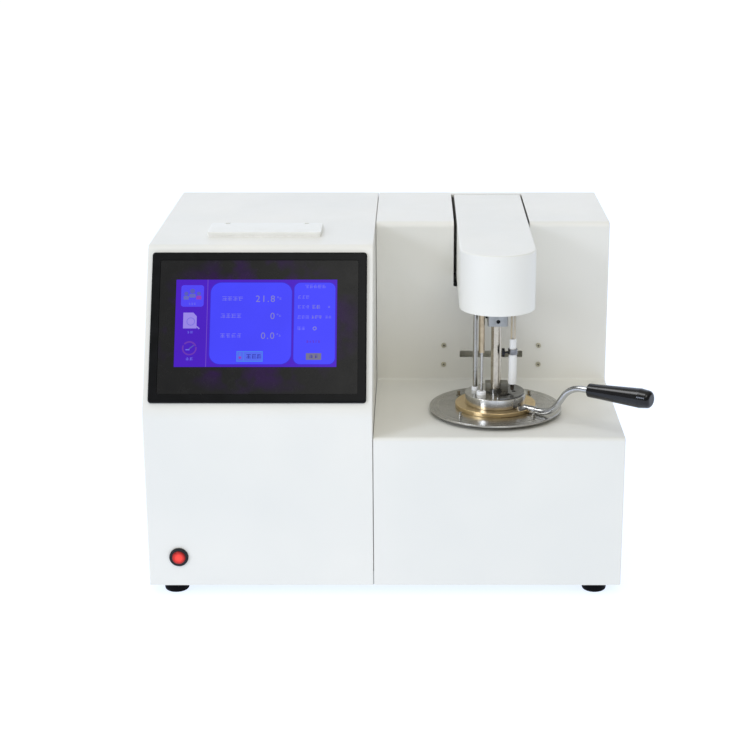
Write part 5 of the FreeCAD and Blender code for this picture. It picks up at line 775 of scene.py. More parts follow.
def join_rings(shape: Shape, first: Sequence[Corner], second: Sequence[Corner]) -> None:
    """Adds the band of faces between two rings of equally many points.

    Args:
        shape: the mesh that grows.
        first: the lower ring.
        second: the upper ring.
    """
    for i in range(len(first)):
        j = (i + 1) % len(first)
        shape.faces.new((first[i], first[j], second[j], second[i]))


def add_slab(shape: Shape, outline: Sequence[Point], low: float, high: float, where: Matrix) -> None:
    """Adds a flat slab.

    Args:
        shape: the mesh that grows.
        outline: points in millimetres, anticlockwise.
        low: lower level in millimetres.
        high: upper level in millimetres.
        where: frame of the slab.
    """
    lower, upper = ([add_point(shape, where, x, y, level) for x, y in outline] for level in (low, high))
    join_rings(shape, lower, upper)
    shape.faces.new(upper)
    shape.faces.new(list(reversed(lower)))


def add_collar(shape: Shape, outer: Sequence[Point], inner: Sequence[Point], low: float,
               high: float, where: Matrix) -> None:
    """Adds a flat ring between two outlines of the same number of points.

    Args:
        shape: the mesh that grows.
        outer: outer points in millimetres, anticlockwise.
        inner: inner points in millimetres, anticlockwise.
        low: lower level in millimetres.
        high: upper level in millimetres.
        where: frame of the ring.
    """
    rings = [[add_point(shape, where, x, y, level) for x, y in outline]
             for outline, level in ((outer, low), (outer, high), (inner, high), (inner, low))]
    for first, second in zip(rings, rings[1:] + rings[:1]):
        join_rings(shape, first, second)


def add_lathe(shape: Shape, profile: Sequence[Point], where: Matrix, steps: int = 32) -> None:
    """Adds a closed body of revolution about the frame's Z.

    Args:
        shape: the mesh that grows.
        profile: radius and height in millimetres, from the bottom of the axis to its top.
        where: frame of the body.
        steps: segments round.
    """
    rings = []
    for radius, height in profile:
        outline = circle(0.0, 0.0, radius, steps if radius > 0 else 1)
        rings.append([add_point(shape, where, x, y, height) for x, y in outline])
    for lower, upper in zip(rings, rings[1:]):
        if len(lower) == len(upper):
            join_rings(shape, lower, upper)
            continue
        for i in range(steps):
            j = (i + 1) % steps
            if len(lower) == 1:
                shape.faces.new((lower[0], upper[j], upper[i]))
            else:
                shape.faces.new((lower[i], lower[j], upper[0]))


def add_tube(shape: Shape, points: Sequence[Vector], radius: float, steps: int = 8) -> None:
    """Adds a closed round tube along points in metres.

    Args:
        shape: the mesh that grows.
        points: the centre line.
        radius: radius in metres.
        steps: segments round.
    """
    rings = []
    side = Vector((0.0, 0.0, 1.0))
    for i, point in enumerate(points):
        before = points[max(i - 1, 0)]
        after = points[min(i + 1, len(points) - 1)]
        along = (after - before).normalized()
        if abs(along.dot(side)) > 0.95:
            side = Vector((1.0, 0.0, 0.0))
        across = along.cross(side).normalized()
        side = across.cross(along).normalized()
        rings.append([shape.verts.new(point + radius * (across * math.cos(math.tau * k / steps)
                                                        + side * math.sin(math.tau * k / steps)))
                      for k in range(steps)])
    for lower, upper in zip(rings, rings[1:]):
        join_rings(shape, lower, upper)
    shape.faces.new(list(reversed(rings[0])))
    shape.faces.new(rings[-1])


def facing(direction: Vector, place: Vector, roll: float = 0.0) -> Matrix:
    """Frame at a place whose Z points in a direction, rolled about it by radians."""
    turn = direction.to_track_quat("Z", "Y").to_matrix().to_4x4()
    return Matrix.Translation(place) @ turn @ Matrix.Rotation(roll, 4, "Z")


def add_screw(shape: Shape, where: Matrix, radius: float, height: float, sink: float = 0.3) -> None:
    """Adds a pan-head screw with a cross recess, its head's underside at the frame's origin.

    Args:
        shape: the mesh that grows.
        where: frame; Z points out of the head.
        radius: head radius in millimetres.
        height: head height in millimetres.
        sink: how far the head reaches into its seat in millimetres.
    """
    profile = [(0.0, -sink), (radius, -sink), (radius, height * 0.35), (radius * 0.92, height * 0.7),
               (radius * 0.72, height * 0.94), (radius * 0.45, height), (radius * 0.4, height * 0.45),
               (0.0, height * 0.4)]
    add_lathe(shape, profile, where, 20)
    reach, half = radius * 0.4, radius * 0.09
    bar = rounded_rectangle(-reach, reach, -half, half, radius * 0.05, 2)
    for turn in (0.0, math.pi / 2):
        add_slab(shape, bar, height * 0.3, height * 0.62, where @ Matrix.Rotation(turn, 4, "Z"))


class Ink(Enum):
    """Lit colours of the picture: sRGB code, brightness and height above the glass in millimetres."""

    VIOLET = ("#4A18C4", 1.0, 0.012)
    LINE = ("#7D55D2", 0.95, 0.024)
    FIELD = ("#4444FB", 1.05, 0.036)
    RIM = ("#3A30DA", 0.95, 0.030)
    TILE = ("#4E44F4", 1.05, 0.048)
    PALE = ("#7876F6", 0.95, 0.060)
    SHEET = ("#9F8DF0", 0.95, 0.060)
    DIGIT = ("#8885CC", 0.95, 0.066)
    BUTTON = ("#536AF4", 1.0, 0.048)
    CYAN = ("#4A86EE", 1.0, 0.054)
    GREY = ("#7A7894", 0.9, 0.054)
    FIGURE = ("#6A6CC4", 0.95, 0.054)
    SHADE = ("#5C5EBE", 0.95, 0.060)
    LENS = ("#7C74E6", 0.95, 0.072)
    DIAL = ("#7038BC", 0.95, 0.060)
    DARK = ("#2C24A8", 0.9, 0.072)
    PINK = ("#9A3CC0", 0.95, 0.078)
    MAROON = ("#6628B4", 0.95, 0.078)


@dataclass
class Assembly:
    """A sub-assembly: the layout that it stands in and the maker of its pieces."""

    layout: Layout
    maker: Maker

    def build(self) -> None:
        """Dresses its CAD nodes and adds its pieces."""
        raise NotImplementedError


@dataclass
class ScreenPicture(Assembly):
    """The lit picture: side bar with three signs, a field with three values and a field with settings."""

    left: float = 29.0
    right: float = 182.6
    low: float = 43.9
    high: float = 129.9
    surface: float = 2.9
    digit_spacing: float = 1.22
    digit_share: float = 0.72
    shapes: dict[Ink, Shape] = field(default_factory=dict)
    rng: random.Random = field(default_factory=lambda: random.Random(11))

    def shape(self, ink: Ink) -> Shape:
        """Mesh that collects one colour.

        Args:
            ink: the colour.
        Returns:
            the mesh.
        """
        if ink not in self.shapes:
            self.shapes[ink] = bmesh.new()
        return self.shapes[ink]

    def area(self, ink: Ink, outline: Sequence[Point]) -> None:
        """Adds one filled area.

        Args:
            ink: its colour.
            outline: points in millimetres on the panel.
        """
        height = (self.surface + ink.value[2]) * MM
        panel = self.layout.panel()
        shape = self.shape(ink)
        shape.faces.new([shape.verts.new(panel @ Vector((x * MM, y * MM, height))) for x, y in outline])

    def bar(self, ink: Ink, x0: float, x1: float, y0: float, y1: float, radius: float = 0.0) -> None:
        """Adds a bar, with round corners if a radius is given.

        Args:
            ink: its colour.
            x0: left.
            x1: right.
            y0: bottom.
            y1: top.
            radius: corner radius.
        """
        if radius > 0:
            self.area(ink, rounded_rectangle(x0, x1, y0, y1, radius, 8))
        else:
            self.area(ink, [(x0, y0), (x1, y0), (x1, y1), (x0, y1)])

    def frame(self, ink: Ink, x0: float, x1: float, y0: float, y1: float, width: float) -> None:
        """Adds a rectangular outline.

        Args:
            ink: its colour.
            x0: left.
            x1: right.
            y0: bottom.
            y1: top.
            width: line width.
        """
        self.bar(ink, x0, x1, y0, y0 + width)
        self.bar(ink, x0, x1, y1 - width, y1)
        self.bar(ink, x0, x0 + width, y0 + width, y1 - width)
        self.bar(ink, x1 - width, x1, y0 + width, y1 - width)

    def ring(self, ink: Ink, x: float, y: float, outer: float, inner: float, start: float = 0.0,
             sweep: float = 360.0) -> None:
        """Adds a ring or an arc.

        Args:
            ink: its colour.
            x: centre.
            y: centre.
            outer: outer radius.
            inner: inner radius.
            start: first angle in degrees.
            sweep: angle covered in degrees.
        """
        steps = max(6, int(sweep / 12))
        for i in range(steps):
            first, last = (math.radians(start + sweep * k / steps) for k in (i, i + 1))
            corners = ((outer, first), (outer, last), (inner, last), (inner, first))
            self.area(ink, [(x + r * math.cos(a), y + r * math.sin(a)) for r, a in corners])

    def signs(self, ink: Ink, x0: float, y: float, count: int, size: float, gap: float = 0.5) -> None:
        """Adds a row of small abstract signs that spell nothing.

        Args:
            ink: their colour.
            x0: left end.
            y: middle height.
            count: how many signs.
            size: their width and height.
            gap: space between them.
        """
        line = size * 0.13
        for i in range(count):
            x = x0 + i * (size + gap)
            bottom = y - size / 2
            for k in range(3):
                level = bottom + size * (0.1 + 0.38 * k) + self.rng.uniform(-0.04, 0.04) * size
                inset = self.rng.choice((0.0, 0.12, 0.3)) * size
                end = x + size - inset * self.rng.choice((0.0, 1.0))
                self.bar(ink, x + inset, end, level, level + line)
            stem = x + size * self.rng.choice((0.18, 0.42, 0.68))
            self.bar(ink, stem, stem + line, bottom, bottom + size * self.rng.choice((0.75, 0.95)))

    def number(self, text: str, x1: float, y: float, height: float) -> None:
        """Adds a number made from the built-in font.

        Args:
            text: the digits.
            x1: right end.
            y: middle height.
            height: digit height.
        """
        curve = bpy.data.curves.new("digits", "FONT")
        curve.body = text
        curve.size = height / self.digit_share * MM
        curve.space_character = self.digit_spacing
        curve.resolution_u = 3
        source = bpy.data.objects.new("digits", curve)
        bpy.context.scene.collection.objects.link(source)
        bpy.context.view_layer.update()
        mesh = bpy.data.meshes.new_from_object(source)
        bpy.data.objects.remove(source)
        bpy.data.curves.remove(curve)
        width = max(v.co.x for v in mesh.vertices)
        low = min(v.co.y for v in mesh.vertices)
        lift = (self.surface + Ink.DIGIT.value[2]) * MM
        place = Matrix.Translation((x1 * MM - width, (y - height / 2) * MM - low, lift))
        mesh.transform(self.layout.panel() @ place)
        self.shape(Ink.DIGIT).from_mesh(mesh)
        bpy.data.meshes.remove(mesh)

    def build_side_bar(self) -> None:
        """Adds the side bar: line, tile with three small figures, a sheet with a lens and a dial."""
        self.bar(Ink.LINE, 58.9, 59.4, self.low, self.high)
        self.bar(Ink.TILE, 33.9, 55.6, 103.0, 124.4, 2.6)
        for x, y, size, ink in ((38.8, 113.4, 2.5, Ink.FIGURE), (44.7, 115.4, 3.0, Ink.FIGURE),
                                (50.8, 113.6, 2.4, Ink.PINK)):
            self.area(Ink.SHADE, circle(x, y + size, size * 0.8, 16))
            self.bar(ink, x - size, x + size, y - 3.4, y + 0.3, 0.6)
        self.signs(Ink.PALE, 41.0, 105.9, 3, 2.0)
        self.area(Ink.SHEET, [(36.6, 81.6), (49.4, 81.6), (49.4, 93.6), (46.0, 97.2), (36.6, 97.2)])
        self.ring(Ink.LENS, 43.8, 88.4, 4.0, 3.3)
        self.area(Ink.SHEET, [(47.2, 84.6), (51.7, 80.8), (52.5, 81.7), (48.0, 85.6)])
        self.signs(Ink.PALE, 40.4, 77.8, 2, 2.3, 1.0)
        self.ring(Ink.DIAL, 43.2, 62.2, 7.0, 5.4, 20.0, 120.0)
        self.ring(Ink.DIAL, 43.2, 62.2, 7.0, 5.6, 155.0, 215.0)
        self.bar(Ink.PALE, 39.6, 43.4, 60.2, 61.3)
        self.area(Ink.SHADE, [(43.0, 61.0), (47.6, 64.6), (47.1, 65.4), (42.6, 62.0)])
        self.signs(Ink.PALE, 40.2, 51.8, 2, 2.8, 0.8)

    def build_fields(self) -> None:
        """Adds the two rounded fields with their signs, values and buttons."""
        self.bar(Ink.RIM, 61.7, 140.0, 46.2, 127.4, 10.5)
        self.bar(Ink.FIELD, 62.3, 139.4, 46.8, 126.8, 10.0)
        self.bar(Ink.RIM, 141.4, 181.4, 46.2, 127.2, 6.4)
        self.bar(Ink.FIELD, 141.9, 180.9, 46.8, 126.7, 6.0)
        for y, text, start in ((111.0, "21.8", 73.2), (94.0, "0", 72.0), (74.6, "0.0", 72.2)):
            self.signs(Ink.PALE, start, y, 4, 4.3, 0.8)
            self.number(text, 123.4, y, 6.6)
            self.ring(Ink.PALE, 126.2, y + 1.4, 0.8, 0.4)
            self.signs(Ink.PALE, 127.4, y, 1, 2.2)
        self.bar(Ink.BUTTON, 88.2, 112.6, 49.2, 59.2)
        self.frame(Ink.CYAN, 88.0, 112.8, 49.0, 59.4, 0.7)
        self.bar(Ink.CYAN, 94.4, 94.9, 49.0, 59.4)
        self.area(Ink.PINK, circle(91.3, 53.0, 1.3, 14))
        self.bar(Ink.CYAN, 90.9, 91.7, 54.2, 57.6)
        self.signs(Ink.DARK, 97.4, 54.2, 3, 4.2, 0.7)
        self.signs(Ink.PALE, 152.2, 123.0, 5, 3.4, 0.6)
        for y, count in ((112.6, 3), (102.8, 3), (92.8, 3), (81.6, 2)):
            self.signs(Ink.PALE, 145.0, y, count, 3.2, 0.7)
        self.signs(Ink.DIGIT, 158.8, 102.8, 2, 3.6, 0.6)
        self.ring(Ink.PALE, 175.0, 102.8, 0.9, 0.4)
        self.signs(Ink.DIGIT, 158.0, 92.8, 3, 3.0, 0.5)
        self.signs(Ink.PALE, 171.6, 92.8, 2, 2.6, 0.5)
        self.ring(Ink.DIGIT, 161.6, 81.6, 1.9, 1.1)
        self.signs(Ink.MAROON, 153.8, 68.6, 5, 2.2, 0.5)
        self.bar(Ink.GREY, 153.6, 168.2, 50.8, 57.4, 0.5)
        self.signs(Ink.DARK, 156.8, 54.1, 2, 3.4, 1.0)

    def build(self) -> None:
        """Makes the picture and turns each colour into one piece."""
        self.bar(Ink.VIOLET, self.left, self.right, self.low, self.high)
        self.build_side_bar()
        self.build_fields()
        for ink, shape in self.shapes.items():
            code, strength, _ = ink.value
            finish = LitInk("lit_" + ink.name.lower(), code, strength)
            self.maker.piece("screen_" + ink.name.lower(), shape, Body.HOUSING, finish, Slot.GLASS)


@dataclass
class Housing(Assembly):
    """Covers, feet, printer, rear fittings and their screws."""

    depth: float = 352.4
    width: float = 456.0
    seam: float = 217.0
    screw_inset: float = 9.0
    screw_heights: tuple[float, ...] = (24.0, 128.0, 222.0, 313.0)
    fan_centre: Point = (132.0, 215.0)
    fan_reach: float = 35.75
    inlet_centre: Point = (52.0, 88.0)
    inlet_reach: float = 20.0
    rim_overlap: float = 1.5
    rim_inset: float = 0.5
    rim_height: float = 1.35
    rim_corner: float = 2.8

    def dress(self) -> None:
        """Gives the sheet-metal nodes, feet and electronics their finishes."""
        paint = PowderCoat("powder_coat_white")
        painted = ("left_cover", "right_cover", "rear_panel_left", "rear_panel_right", "arm_shell")
        self.maker.dress_all({node: paint for node in painted})
        self.maker.dress_all({
            "base_pan": DrawnMetal("zinc_sheet", "#A9ADAF", 0, 0.4),
            "feet": Plastic("foot_rubber", "#08080A", "#0E0E11", 0.6, 0.8, 0.02, specular=0.06),
            "printer_body": Plastic("case_plastic", "#E6E5DE", "#DEDDD6", 0.5, 0.6),
            "paper_roll": Fibre("thermal_paper", "#F3F3F0", "#E6E6E0", 0.3, 0.01),
            "printer_cover": Plastic("flap_plastic", "#EEEFEC", "#EBECE8", 0.5, 0.6, specular=0.2),
            "platen_roller": Plastic("roller_rubber", "#151516", "#1E1E20", 0.8, 0.5, 0.02),
            "control_board": CircuitBoard("board_lacquer"),
            "power_supply": DrawnMetal("supply_case", "#B4B7B9", 0, 0.38),
            "mains_inlet": Plastic("inlet_plastic", "#141415", "#1C1C1E", 0.48),
            "fan_frame": Plastic("fan_plastic", "#141416", "#1B1B1E", 0.5),
            "fan_rotor": Plastic("rotor_plastic", "#1A1A1C", "#222225", 0.46),
            "fan_guard": PolishedSteel("guard_wire", "#C2C4C6", 0.2),
        })

    def build_rear_screws(self) -> None:
        """Adds the screws of the rear panels, the fan and the inlet."""
        inset, fan, inlet = self.screw_inset, self.fan_reach, self.inlet_reach
        columns = (inset, self.seam - inset, self.seam + inset, self.width - inset)
        fan_x, fan_z = self.fan_centre
        inlet_x, inlet_z = self.inlet_centre
        screws = [(x, z, 0.0, 0.4 + x, 3.2, 1.9) for x in columns for z in self.screw_heights]
        screws += [(fan_x + x, fan_z + z, 1.8, x, 3.4, 1.8) for z in (fan, -fan) for x in (-fan, fan)]
        screws += [(inlet_x + x, inlet_z, 3.0, x, 2.6, 1.5) for x in (-inlet, inlet)]
        shape = bmesh.new()
        for x, z, proud, turn, radius, height in screws:
            place = self.layout.at(x, self.depth + proud, z)
            add_screw(shape, facing(Vector((0.0, 1.0, 0.0)), place, turn), radius, height)
        self.maker.piece("rear_screws", shape, Body.HOUSING, PolishedSteel("screw_nickel", "#BFC0C2", 0.22),
                         Slot.BRIGHT, True)

    def build_printer_rim(self) -> None:
        """Adds the soft white rim that the printer's flip cover closes on."""
        low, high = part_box("printer_cover")
        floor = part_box("left_cover")[1].z
        x0, y0, x1, y1 = (value / MM for value in (low.x, low.y, high.x, high.y))
        outlines = []
        for edge, radius in ((0.0, self.rim_corner), (self.rim_overlap, self.rim_corner / 2)):
            inset = self.rim_inset + edge
            outlines.append(rounded_rectangle(x0 + inset, x1 - inset, y0 + inset, y1 - edge, radius))
        shape = bmesh.new()
        add_collar(shape, *outlines, 0.0, self.rim_height, Matrix.Translation((0.0, 0.0, floor)))
        self.maker.piece("printer_rim", shape, Body.HOUSING,
                         Plastic("rim_rubber", "#F8F8F6", "#F2F2EF", 0.6, 0.6, specular=0.3), Slot.WHITE)

    def build(self) -> None:
        """Dresses the housing and adds its rim and screws."""
        self.dress()
        self.build_printer_rim()
        self.build_rear_screws()


@dataclass
class FrontPanel(Assembly):
    """Screen frame, glass, display and push button."""

    glass_centre: Place = (105.7, 87.0, 3.0)
    # Reach of the painted violet glow on the cover glass, in millimetres.
    glow_reach: float = 105.0

    def build(self) -> None:
        """Dresses the front fittings and lights the picture."""
        centre = self.layout.panel() @ (Vector(self.glass_centre) * MM)
        low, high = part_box("button_cap")
        self.maker.dress_all({
            "screen_bezel": Plastic("bezel_black", "#0C0D0E", "#111214", 0.3, 0.5, 0.002, specular=0.12),
            "touch_glass": PanelGlass("cover_glass", tuple(centre), self.glow_reach * MM),
            "display_module": DrawnMetal("display_can", "#9FA2A4", 0),
            "button_bezel": Plastic("ring_black", "#121213", "#19191B", 0.3, 0.5, 0.004, specular=0.3),
            "button_switch": Plastic("switch_plastic", "#202022", "#2A2A2D", 0.5),
            "button_cap": GlowLens("lens_red", tuple((low + high) / 2)),
        })
        ScreenPicture(self.layout, self.maker).build()


@dataclass
class Bath(Assembly):
    """Disc with its posts, heated bath, cup and the cup's handle."""

    def build(self) -> None:
        """Dresses the bath and the cup."""
        axis = self.layout.axis()
        self.maker.dress_all({
            "bath_plate": TurnedMetal("disc_turned", "#BCBAB5", "#9D9B96", axis, 0.5, 0.26),
            "bath_posts": PolishedSteel("steel_polished", "#C3BFB5", 0.2),
            "bath_block": GritBlasted("block_cast", "#5A5A5B", "#3E3E40", 0.8, 0.08, 0.62),
            "band_heater": DrawnMetal("heater_band", "#8E8F90", 2, 0.4),
            "bath_jacket": Fibre("jacket_fibre", "#D9D4C6", "#BDB6A4", 1.2, 0.12),
            "bath_tray": DrawnMetal("tray_zinc", "#A4A8AA", 0),
            "cup": TurnedMetal("brass_turned", "#E8CE9C", "#D2B582", axis, 0.4, 0.3),
            "handle_lug": TurnedMetal("lug_satin", "#C4C3C0", "#A6A5A2", axis, 0.6, 0.22),
            "handle_rod": PolishedSteel("handle_steel", "#BFC0C1", 0.16),
            "handle_grip": Plastic("grip_black", "#08080A", "#0C0C10", 0.18, 0.8, 0.001, 0.2, 0.3),
        })


@dataclass
class TestHead(Assembly):
    """Lid, stirrer, shutter, igniter, probes and what holds and drives them."""

    shutter_hub: float = 6.43
    driver_levels: Point = (21.63, 23.43)
    sleeve_reach: float = 7.0
    collar_reach: float = 4.75
    scorch_levels: Point = (28.0, 44.0)
    glow: Point = (15.9, -8.6)
    winding_radius: float = 1.65
    winding_wire: float = 0.28
    winding_start: float = 25.3
    winding_length: float = 5.0
    winding_turns: int = 8

    def dress_lid(self) -> None:
        """Dresses the lid, the shutter and the stirrer."""
        axis, level = self.layout.axis(), self.layout.level
        plate, driver = Metal("#8E8D8A", "#6D6C6A", 0.24), Metal("#9B988C", "#807D72", 0.42)
        steel, tan = Metal("#C3BAA9", "#A79F93", 0.24), Metal("#B7A68B", "#9C8B70", 0.2)
        self.maker.dress_all({
            "lid": TurnedMetal("lid_turned", "#D3D1CB", "#B8B6B0", axis, 0.3, 0.2),
            "shutter_plate": PartedMetal("shutter_turned", plate, driver, axis, self.shutter_hub,
                                         *map(level, self.driver_levels)),
            "shutter_tube": PolishedSteel("tube_satin", "#BFBAAD", 0.3),
            "head_sleeves": PartedMetal("sleeve_metals", steel, tan, axis, self.sleeve_reach),
            "probe_bosses": Plastic("boss_white", "#F7F8FA", "#EFF1F4", 0.38, 0.5, 0.005),
            "temperature_probe": PolishedSteel("probe_steel", "#ABA8A1", 0.2),
            "flash_detector": PolishedSteel("detector_steel", "#B5B1A9", 0.2),
            "stirrer": PolishedSteel("stirrer_steel", "#B8B9BA", 0.18),
        })

    def dress_igniter(self) -> None:
        """Dresses the igniter with its collar."""
        collar, thumb_screw = Metal("#8E8E8D", "#5F5F60", 0.26), Metal("#3A3B3E", "#232427", 0.34)
        axis, level = self.layout.axis(*self.glow), self.layout.level
        self.maker.dress_all({
            "igniter_ceramic": FiredCeramic("ceramic_fired", *map(level, self.scorch_levels)),
            "igniter_coil": GritBlasted("tip_oxide", "#4C4843", "#2E2A26", 0.2, 0.02, 0.5),
            "igniter_push_rod": WovenSleeve("sleeved_rod", "#DDD4C3", "#C3B8A4", 0.35),
            "igniter_lead": WovenSleeve("lead_braid"),
            "igniter_clip": PartedMetal("clip_metals", collar, thumb_screw, axis, self.collar_reach),
        })

    def dress_arm(self) -> None:
        """Dresses what the arm holds."""
        self.maker.dress_all({
            "clamp_block": GritBlasted("clamp_blasted", "#B4B5B3", "#A1A2A0", 0.25, 0.02, 0.48),
            "head_screws": GritBlasted("screw_blackened", "#1E1F21", "#131415", 0.3, 0.01, 0.4, 0.8),
            "arm_floor": DrawnMetal("floor_aluminium", "#B4B6B8", 1, 0.4),
            "shutter_actuator": Plastic("actuator_black", "#1A1B1D", "#242528", 0.5),
            "stirrer_motor": DrawnMetal("motor_can", "#A7AAAC", 2),
            "igniter_solenoid": DrawnMetal("solenoid_frame", "#9EA1A3", 2),
        })

    def build_winding(self) -> None:
        """Adds the glow coil's winding on the igniter's tip."""
        shape = bmesh.new()
        x, y = self.glow
        steps = 16
        count = self.winding_turns * steps
        points = []
        for i in range(count + 1):
            angle = math.tau * i / steps
            height = self.winding_start + self.winding_length * i / count
            points.append(self.layout.head(x + self.winding_radius * math.cos(angle),
                                           y + self.winding_radius * math.sin(angle), height))
        add_tube(shape, points, self.winding_wire * MM, 6)
        oxide = GritBlasted("winding_oxide", "#5C5248", "#3A332C", 0.2, 0.01, 0.4)
        self.maker.piece("igniter_winding", shape, Body.IGNITER, oxide, Slot.GREY, True)

    def build(self) -> None:
        """Dresses the head and adds the winding."""
        self.dress_lid()
        self.dress_igniter()
        self.dress_arm()
        self.build_winding()


@dataclass
class Lift(Assembly):
    """Lift behind the riser, and the riser's slot with its screws."""

    riser_front: float = 191.2
    screw_height: float = 1.6
    screw_reach: float = 49.3
    screw_levels: Point = (16.65, 37.15)
    recess_turn: float = 0.3

    def dress(self) -> None:
        """Gives the lift and the slot their finishes."""
        self.maker.dress_all({
            "slot_backing": GritBlasted("backing_grey", "#E4E3D8", "#D6D5CA", 0.4, 0.02, 0.6, 0.0),
            "slot_screws": GritBlasted("screw_grey", "#CBC6B1", "#ABA793", 0.3, 0.01, 0.45, 0.4),
            "lift_frame": DrawnMetal("frame_zinc", "#A2A6A8", 2, 0.42),
            "lift_rods": PolishedSteel("rod_ground", "#C6C7C9", 0.1),
            "lift_motor": Plastic("motor_black", "#161719", "#202124", 0.5),
            "lift_screw": PolishedSteel("screw_rolled", "#B7B8BA", 0.22),
            "lift_carriage": GritBlasted("carriage_blasted", "#B2B4B6", "#9EA0A2", 0.3, 0.01, 0.45),
            "arm_mast": DrawnMetal("mast_zinc", "#A5A9AB", 2, 0.4),
        })

    def build_recess_shade(self) -> None:
        """Adds flat dark crosses on the four screws round the riser's slot: painted shade of their cross
        recesses.
        """
        shape = bmesh.new()
        front = Vector((0.0, -1.0, 0.0))
        bar = rounded_rectangle(-1.25, 1.25, -0.28, 0.28, 0.2, 2)
        rear = self.riser_front - self.screw_height - self.layout.head_y
        for x in (-self.screw_reach, self.screw_reach):
            for z in self.screw_levels:
                for turn in (self.recess_turn, self.recess_turn + math.pi / 2):
                    add_slab(shape, bar, -0.2, 0.03, facing(front, self.layout.head(x, rear, z), turn))
        # A flat dark cross stands for each recess: painted shade, not a hollow.
        dark = GritBlasted("recess_painted_shade", "#3A3933", "#2A2925", 0.3, 0.01, 0.6, 0.4)
        self.maker.piece("slot_screw_recess_shade", shape, Body.HOUSING, dark, Slot.DARK)

    def build(self) -> None:
        """Dresses the lift and adds the painted shade of the screws' recesses."""
        self.dress()
        self.build_recess_shade()


@dataclass(frozen=True)
class Lamp:
    """A soft square light: places and side in metres, power in watts."""

    name: str
    place: Place
    target: Place
    side: float
    power: float
    colour: str


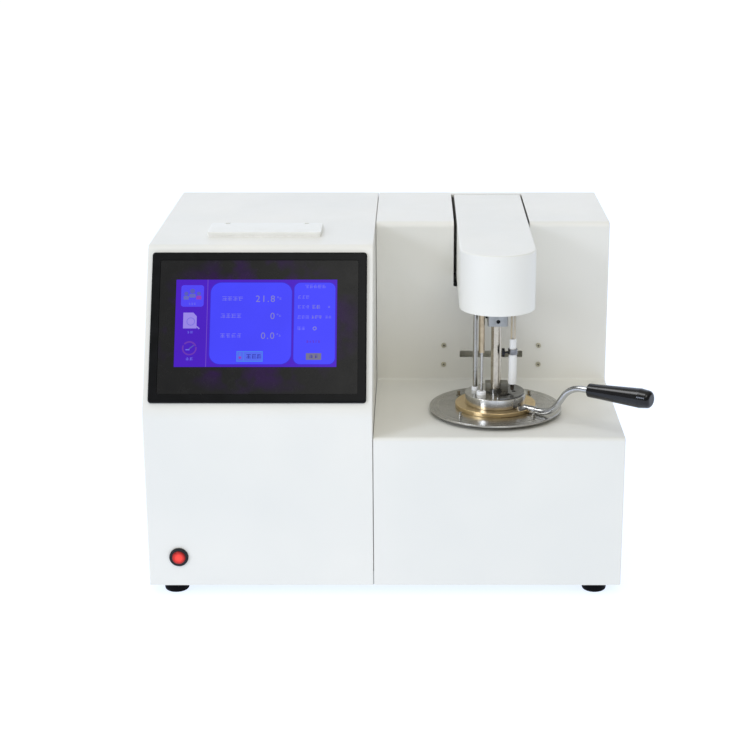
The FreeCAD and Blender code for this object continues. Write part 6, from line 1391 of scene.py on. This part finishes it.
@dataclass
class Studio(Assembly):
    """Camera, lights and floor."""

    camera_place: Place = (256.75, -1564.5, 693.6)
    focal_px: float = 1749.76
    centre_px: Point = (414.88, 383.47)
    pitch: float = 17.03
    image: float = 750.0
    sensor: float = 36.0
    ambient_left: float = 0.82
    ambient_right: float = 0.49
    room_dark: float = 0.25
    room_left: float = 0.08
    room_above: float = 0.64
    left_edge: Point = (-0.75, -0.3)
    above_edge: Point = (0.5, 0.95)
    window_way: Place = (-0.565, -0.014, 0.825)
    window_edge: Point = (0.95, 0.985)
    window_light: float = 5.0
    backdrop: float = 1.1
    lamps: tuple[Lamp, ...] = (
        Lamp("key", (-1.9, -1.7, 1.15), (0.05, 0.0, 0.2), 0.55, 12.4, "#E0EAFF"),
        Lamp("top", (-0.92, -0.2, 1.85), (0.1, -0.1, 0.2), 0.8, 4.5, "#DCE7FF"),
        Lamp("fill", (0.35, -1.6, 2.05), (0.1, 0.0, 0.15), 1.2, 10.8, "#FDFBF5"),
    )
    floor_front: float = -3.0
    floor_rear: float = 2.2
    floor_reach: float = 4.0
    sweep: float = 0.8

    def build_camera(self) -> None:
        """Places the camera as the photograph was taken."""
        data = bpy.data.cameras.new("camera")
        data.sensor_width = self.sensor
        data.lens = self.focal_px / self.image * self.sensor
        data.shift_x = -(self.centre_px[0] - self.image / 2) / self.image
        data.shift_y = (self.centre_px[1] - self.image / 2) / self.image
        data.clip_end = 50.0
        camera = bpy.data.objects.new("camera", data)
        camera.location = self.layout.at(*self.camera_place)
        camera.rotation_euler = (math.radians(90 - self.pitch), 0.0, 0.0)
        bpy.context.scene.collection.objects.link(camera)
        bpy.context.scene.camera = camera

    def build_lamp(self, lamp: Lamp) -> None:
        """Adds one soft light.

        Args:
            lamp: what it is and where.
        """
        data = bpy.data.lights.new(lamp.name, "AREA")
        data.shape = "SQUARE"
        data.size = lamp.side
        data.energy = lamp.power
        data.color = srgb(lamp.colour)[:3]
        light = bpy.data.objects.new(lamp.name, data)
        light.location = lamp.place
        direction = Vector(lamp.target) - Vector(lamp.place)
        light.rotation_euler = direction.to_track_quat("-Z", "Y").to_euler()
        bpy.context.scene.collection.objects.link(light)

    def build_world(self) -> None:
        """Lights the room in soft white; gloss mirrors a darker room, bright at its left and above."""
        world = bpy.data.worlds.new("studio")
        world.use_nodes = True
        nodes = Nodes(world.node_tree)
        way = nodes.add("TexCoord").outputs["Generated"]
        across, _, up = nodes.add("SeparateXYZ", {0: way}).outputs
        toward = nodes.add("VectorMath", {0: way, 1: self.window_way}, operation="DOT_PRODUCT")
        lights = ((across, self.left_edge, self.room_left, 0.0),
                  (up, self.above_edge, self.room_dark, self.room_above),
                  (toward, self.window_edge, 0.0, self.window_light))
        left, above, window = (nodes.add("MapRange", {0: value, 1: start, 2: end, 3: low, 4: high},
                                         interpolation_type="SMOOTHSTEP")
                               for value, (start, end), low, high in lights)
        wide = nodes.add("Math", {0: left, 1: above}, operation="ADD")
        room = nodes.add("Math", {0: wide, 1: window}, operation="ADD")
        soft = nodes.add("MapRange", {0: across, 1: -1.0, 3: self.ambient_left, 4: self.ambient_right})
        rays = nodes.add("LightPath").outputs
        lit = nodes.add("Mix", {0: rays["Is Glossy Ray"], 2: soft, 3: room}, data_type="FLOAT")
        level = nodes.add("Mix", {0: rays["Is Camera Ray"], 2: lit, 3: self.backdrop}, data_type="FLOAT")
        background = nodes.add("Background", {0: srgb("#FFFDF8"), 1: level})
        nodes.add("OutputWorld", {0: background})
        bpy.context.scene.world = world

    def build_floor(self) -> None:
        """Adds a wide sheet of paper that curves up behind the instrument."""
        rear, reach, sweep = self.floor_rear, self.floor_reach, self.sweep
        profile = [(self.floor_front, 0.0), (rear, 0.0)]
        for angle in map(math.radians, range(10, 91, 10)):
            profile.append((rear + sweep * math.sin(angle), sweep * (1 - math.cos(angle))))
        profile.append((rear + sweep, reach))
        shape = bmesh.new()
        rows = [[shape.verts.new((x, y, z)) for x in (-reach, reach)] for y, z in profile]
        for lower, upper in zip(rows, rows[1:]):
            shape.faces.new((lower[0], lower[1], upper[1], upper[0]))
        mesh = bpy.data.meshes.new("floor")
        shape.to_mesh(mesh)
        shape.free()
        mesh.polygons.foreach_set("use_smooth", [True] * len(mesh.polygons))
        mesh.materials.append(self.maker.material(StageFloor("studio_paper")))
        floor = bpy.data.objects.new("floor", mesh)
        bpy.context.scene.collection.objects.link(floor)

    def build(self) -> None:
        """Builds the studio."""
        self.build_camera()
        self.build_world()
        for lamp in self.lamps:
            self.build_lamp(lamp)
        self.build_floor()
        bpy.context.scene.view_settings.view_transform = "Standard"


def main() -> None:
    """Builds the whole scene."""
    logging.basicConfig(level=logging.INFO, format="%(message)s")
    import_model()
    layout = Layout()
    maker = Maker()
    for kind in (Housing, FrontPanel, Bath, TestHead, Lift, Studio):
        kind(layout, maker).build()
    LOG.info("%d pieces, %d materials", maker.count, len(maker.materials))


if __name__ == "__main__":
    main()
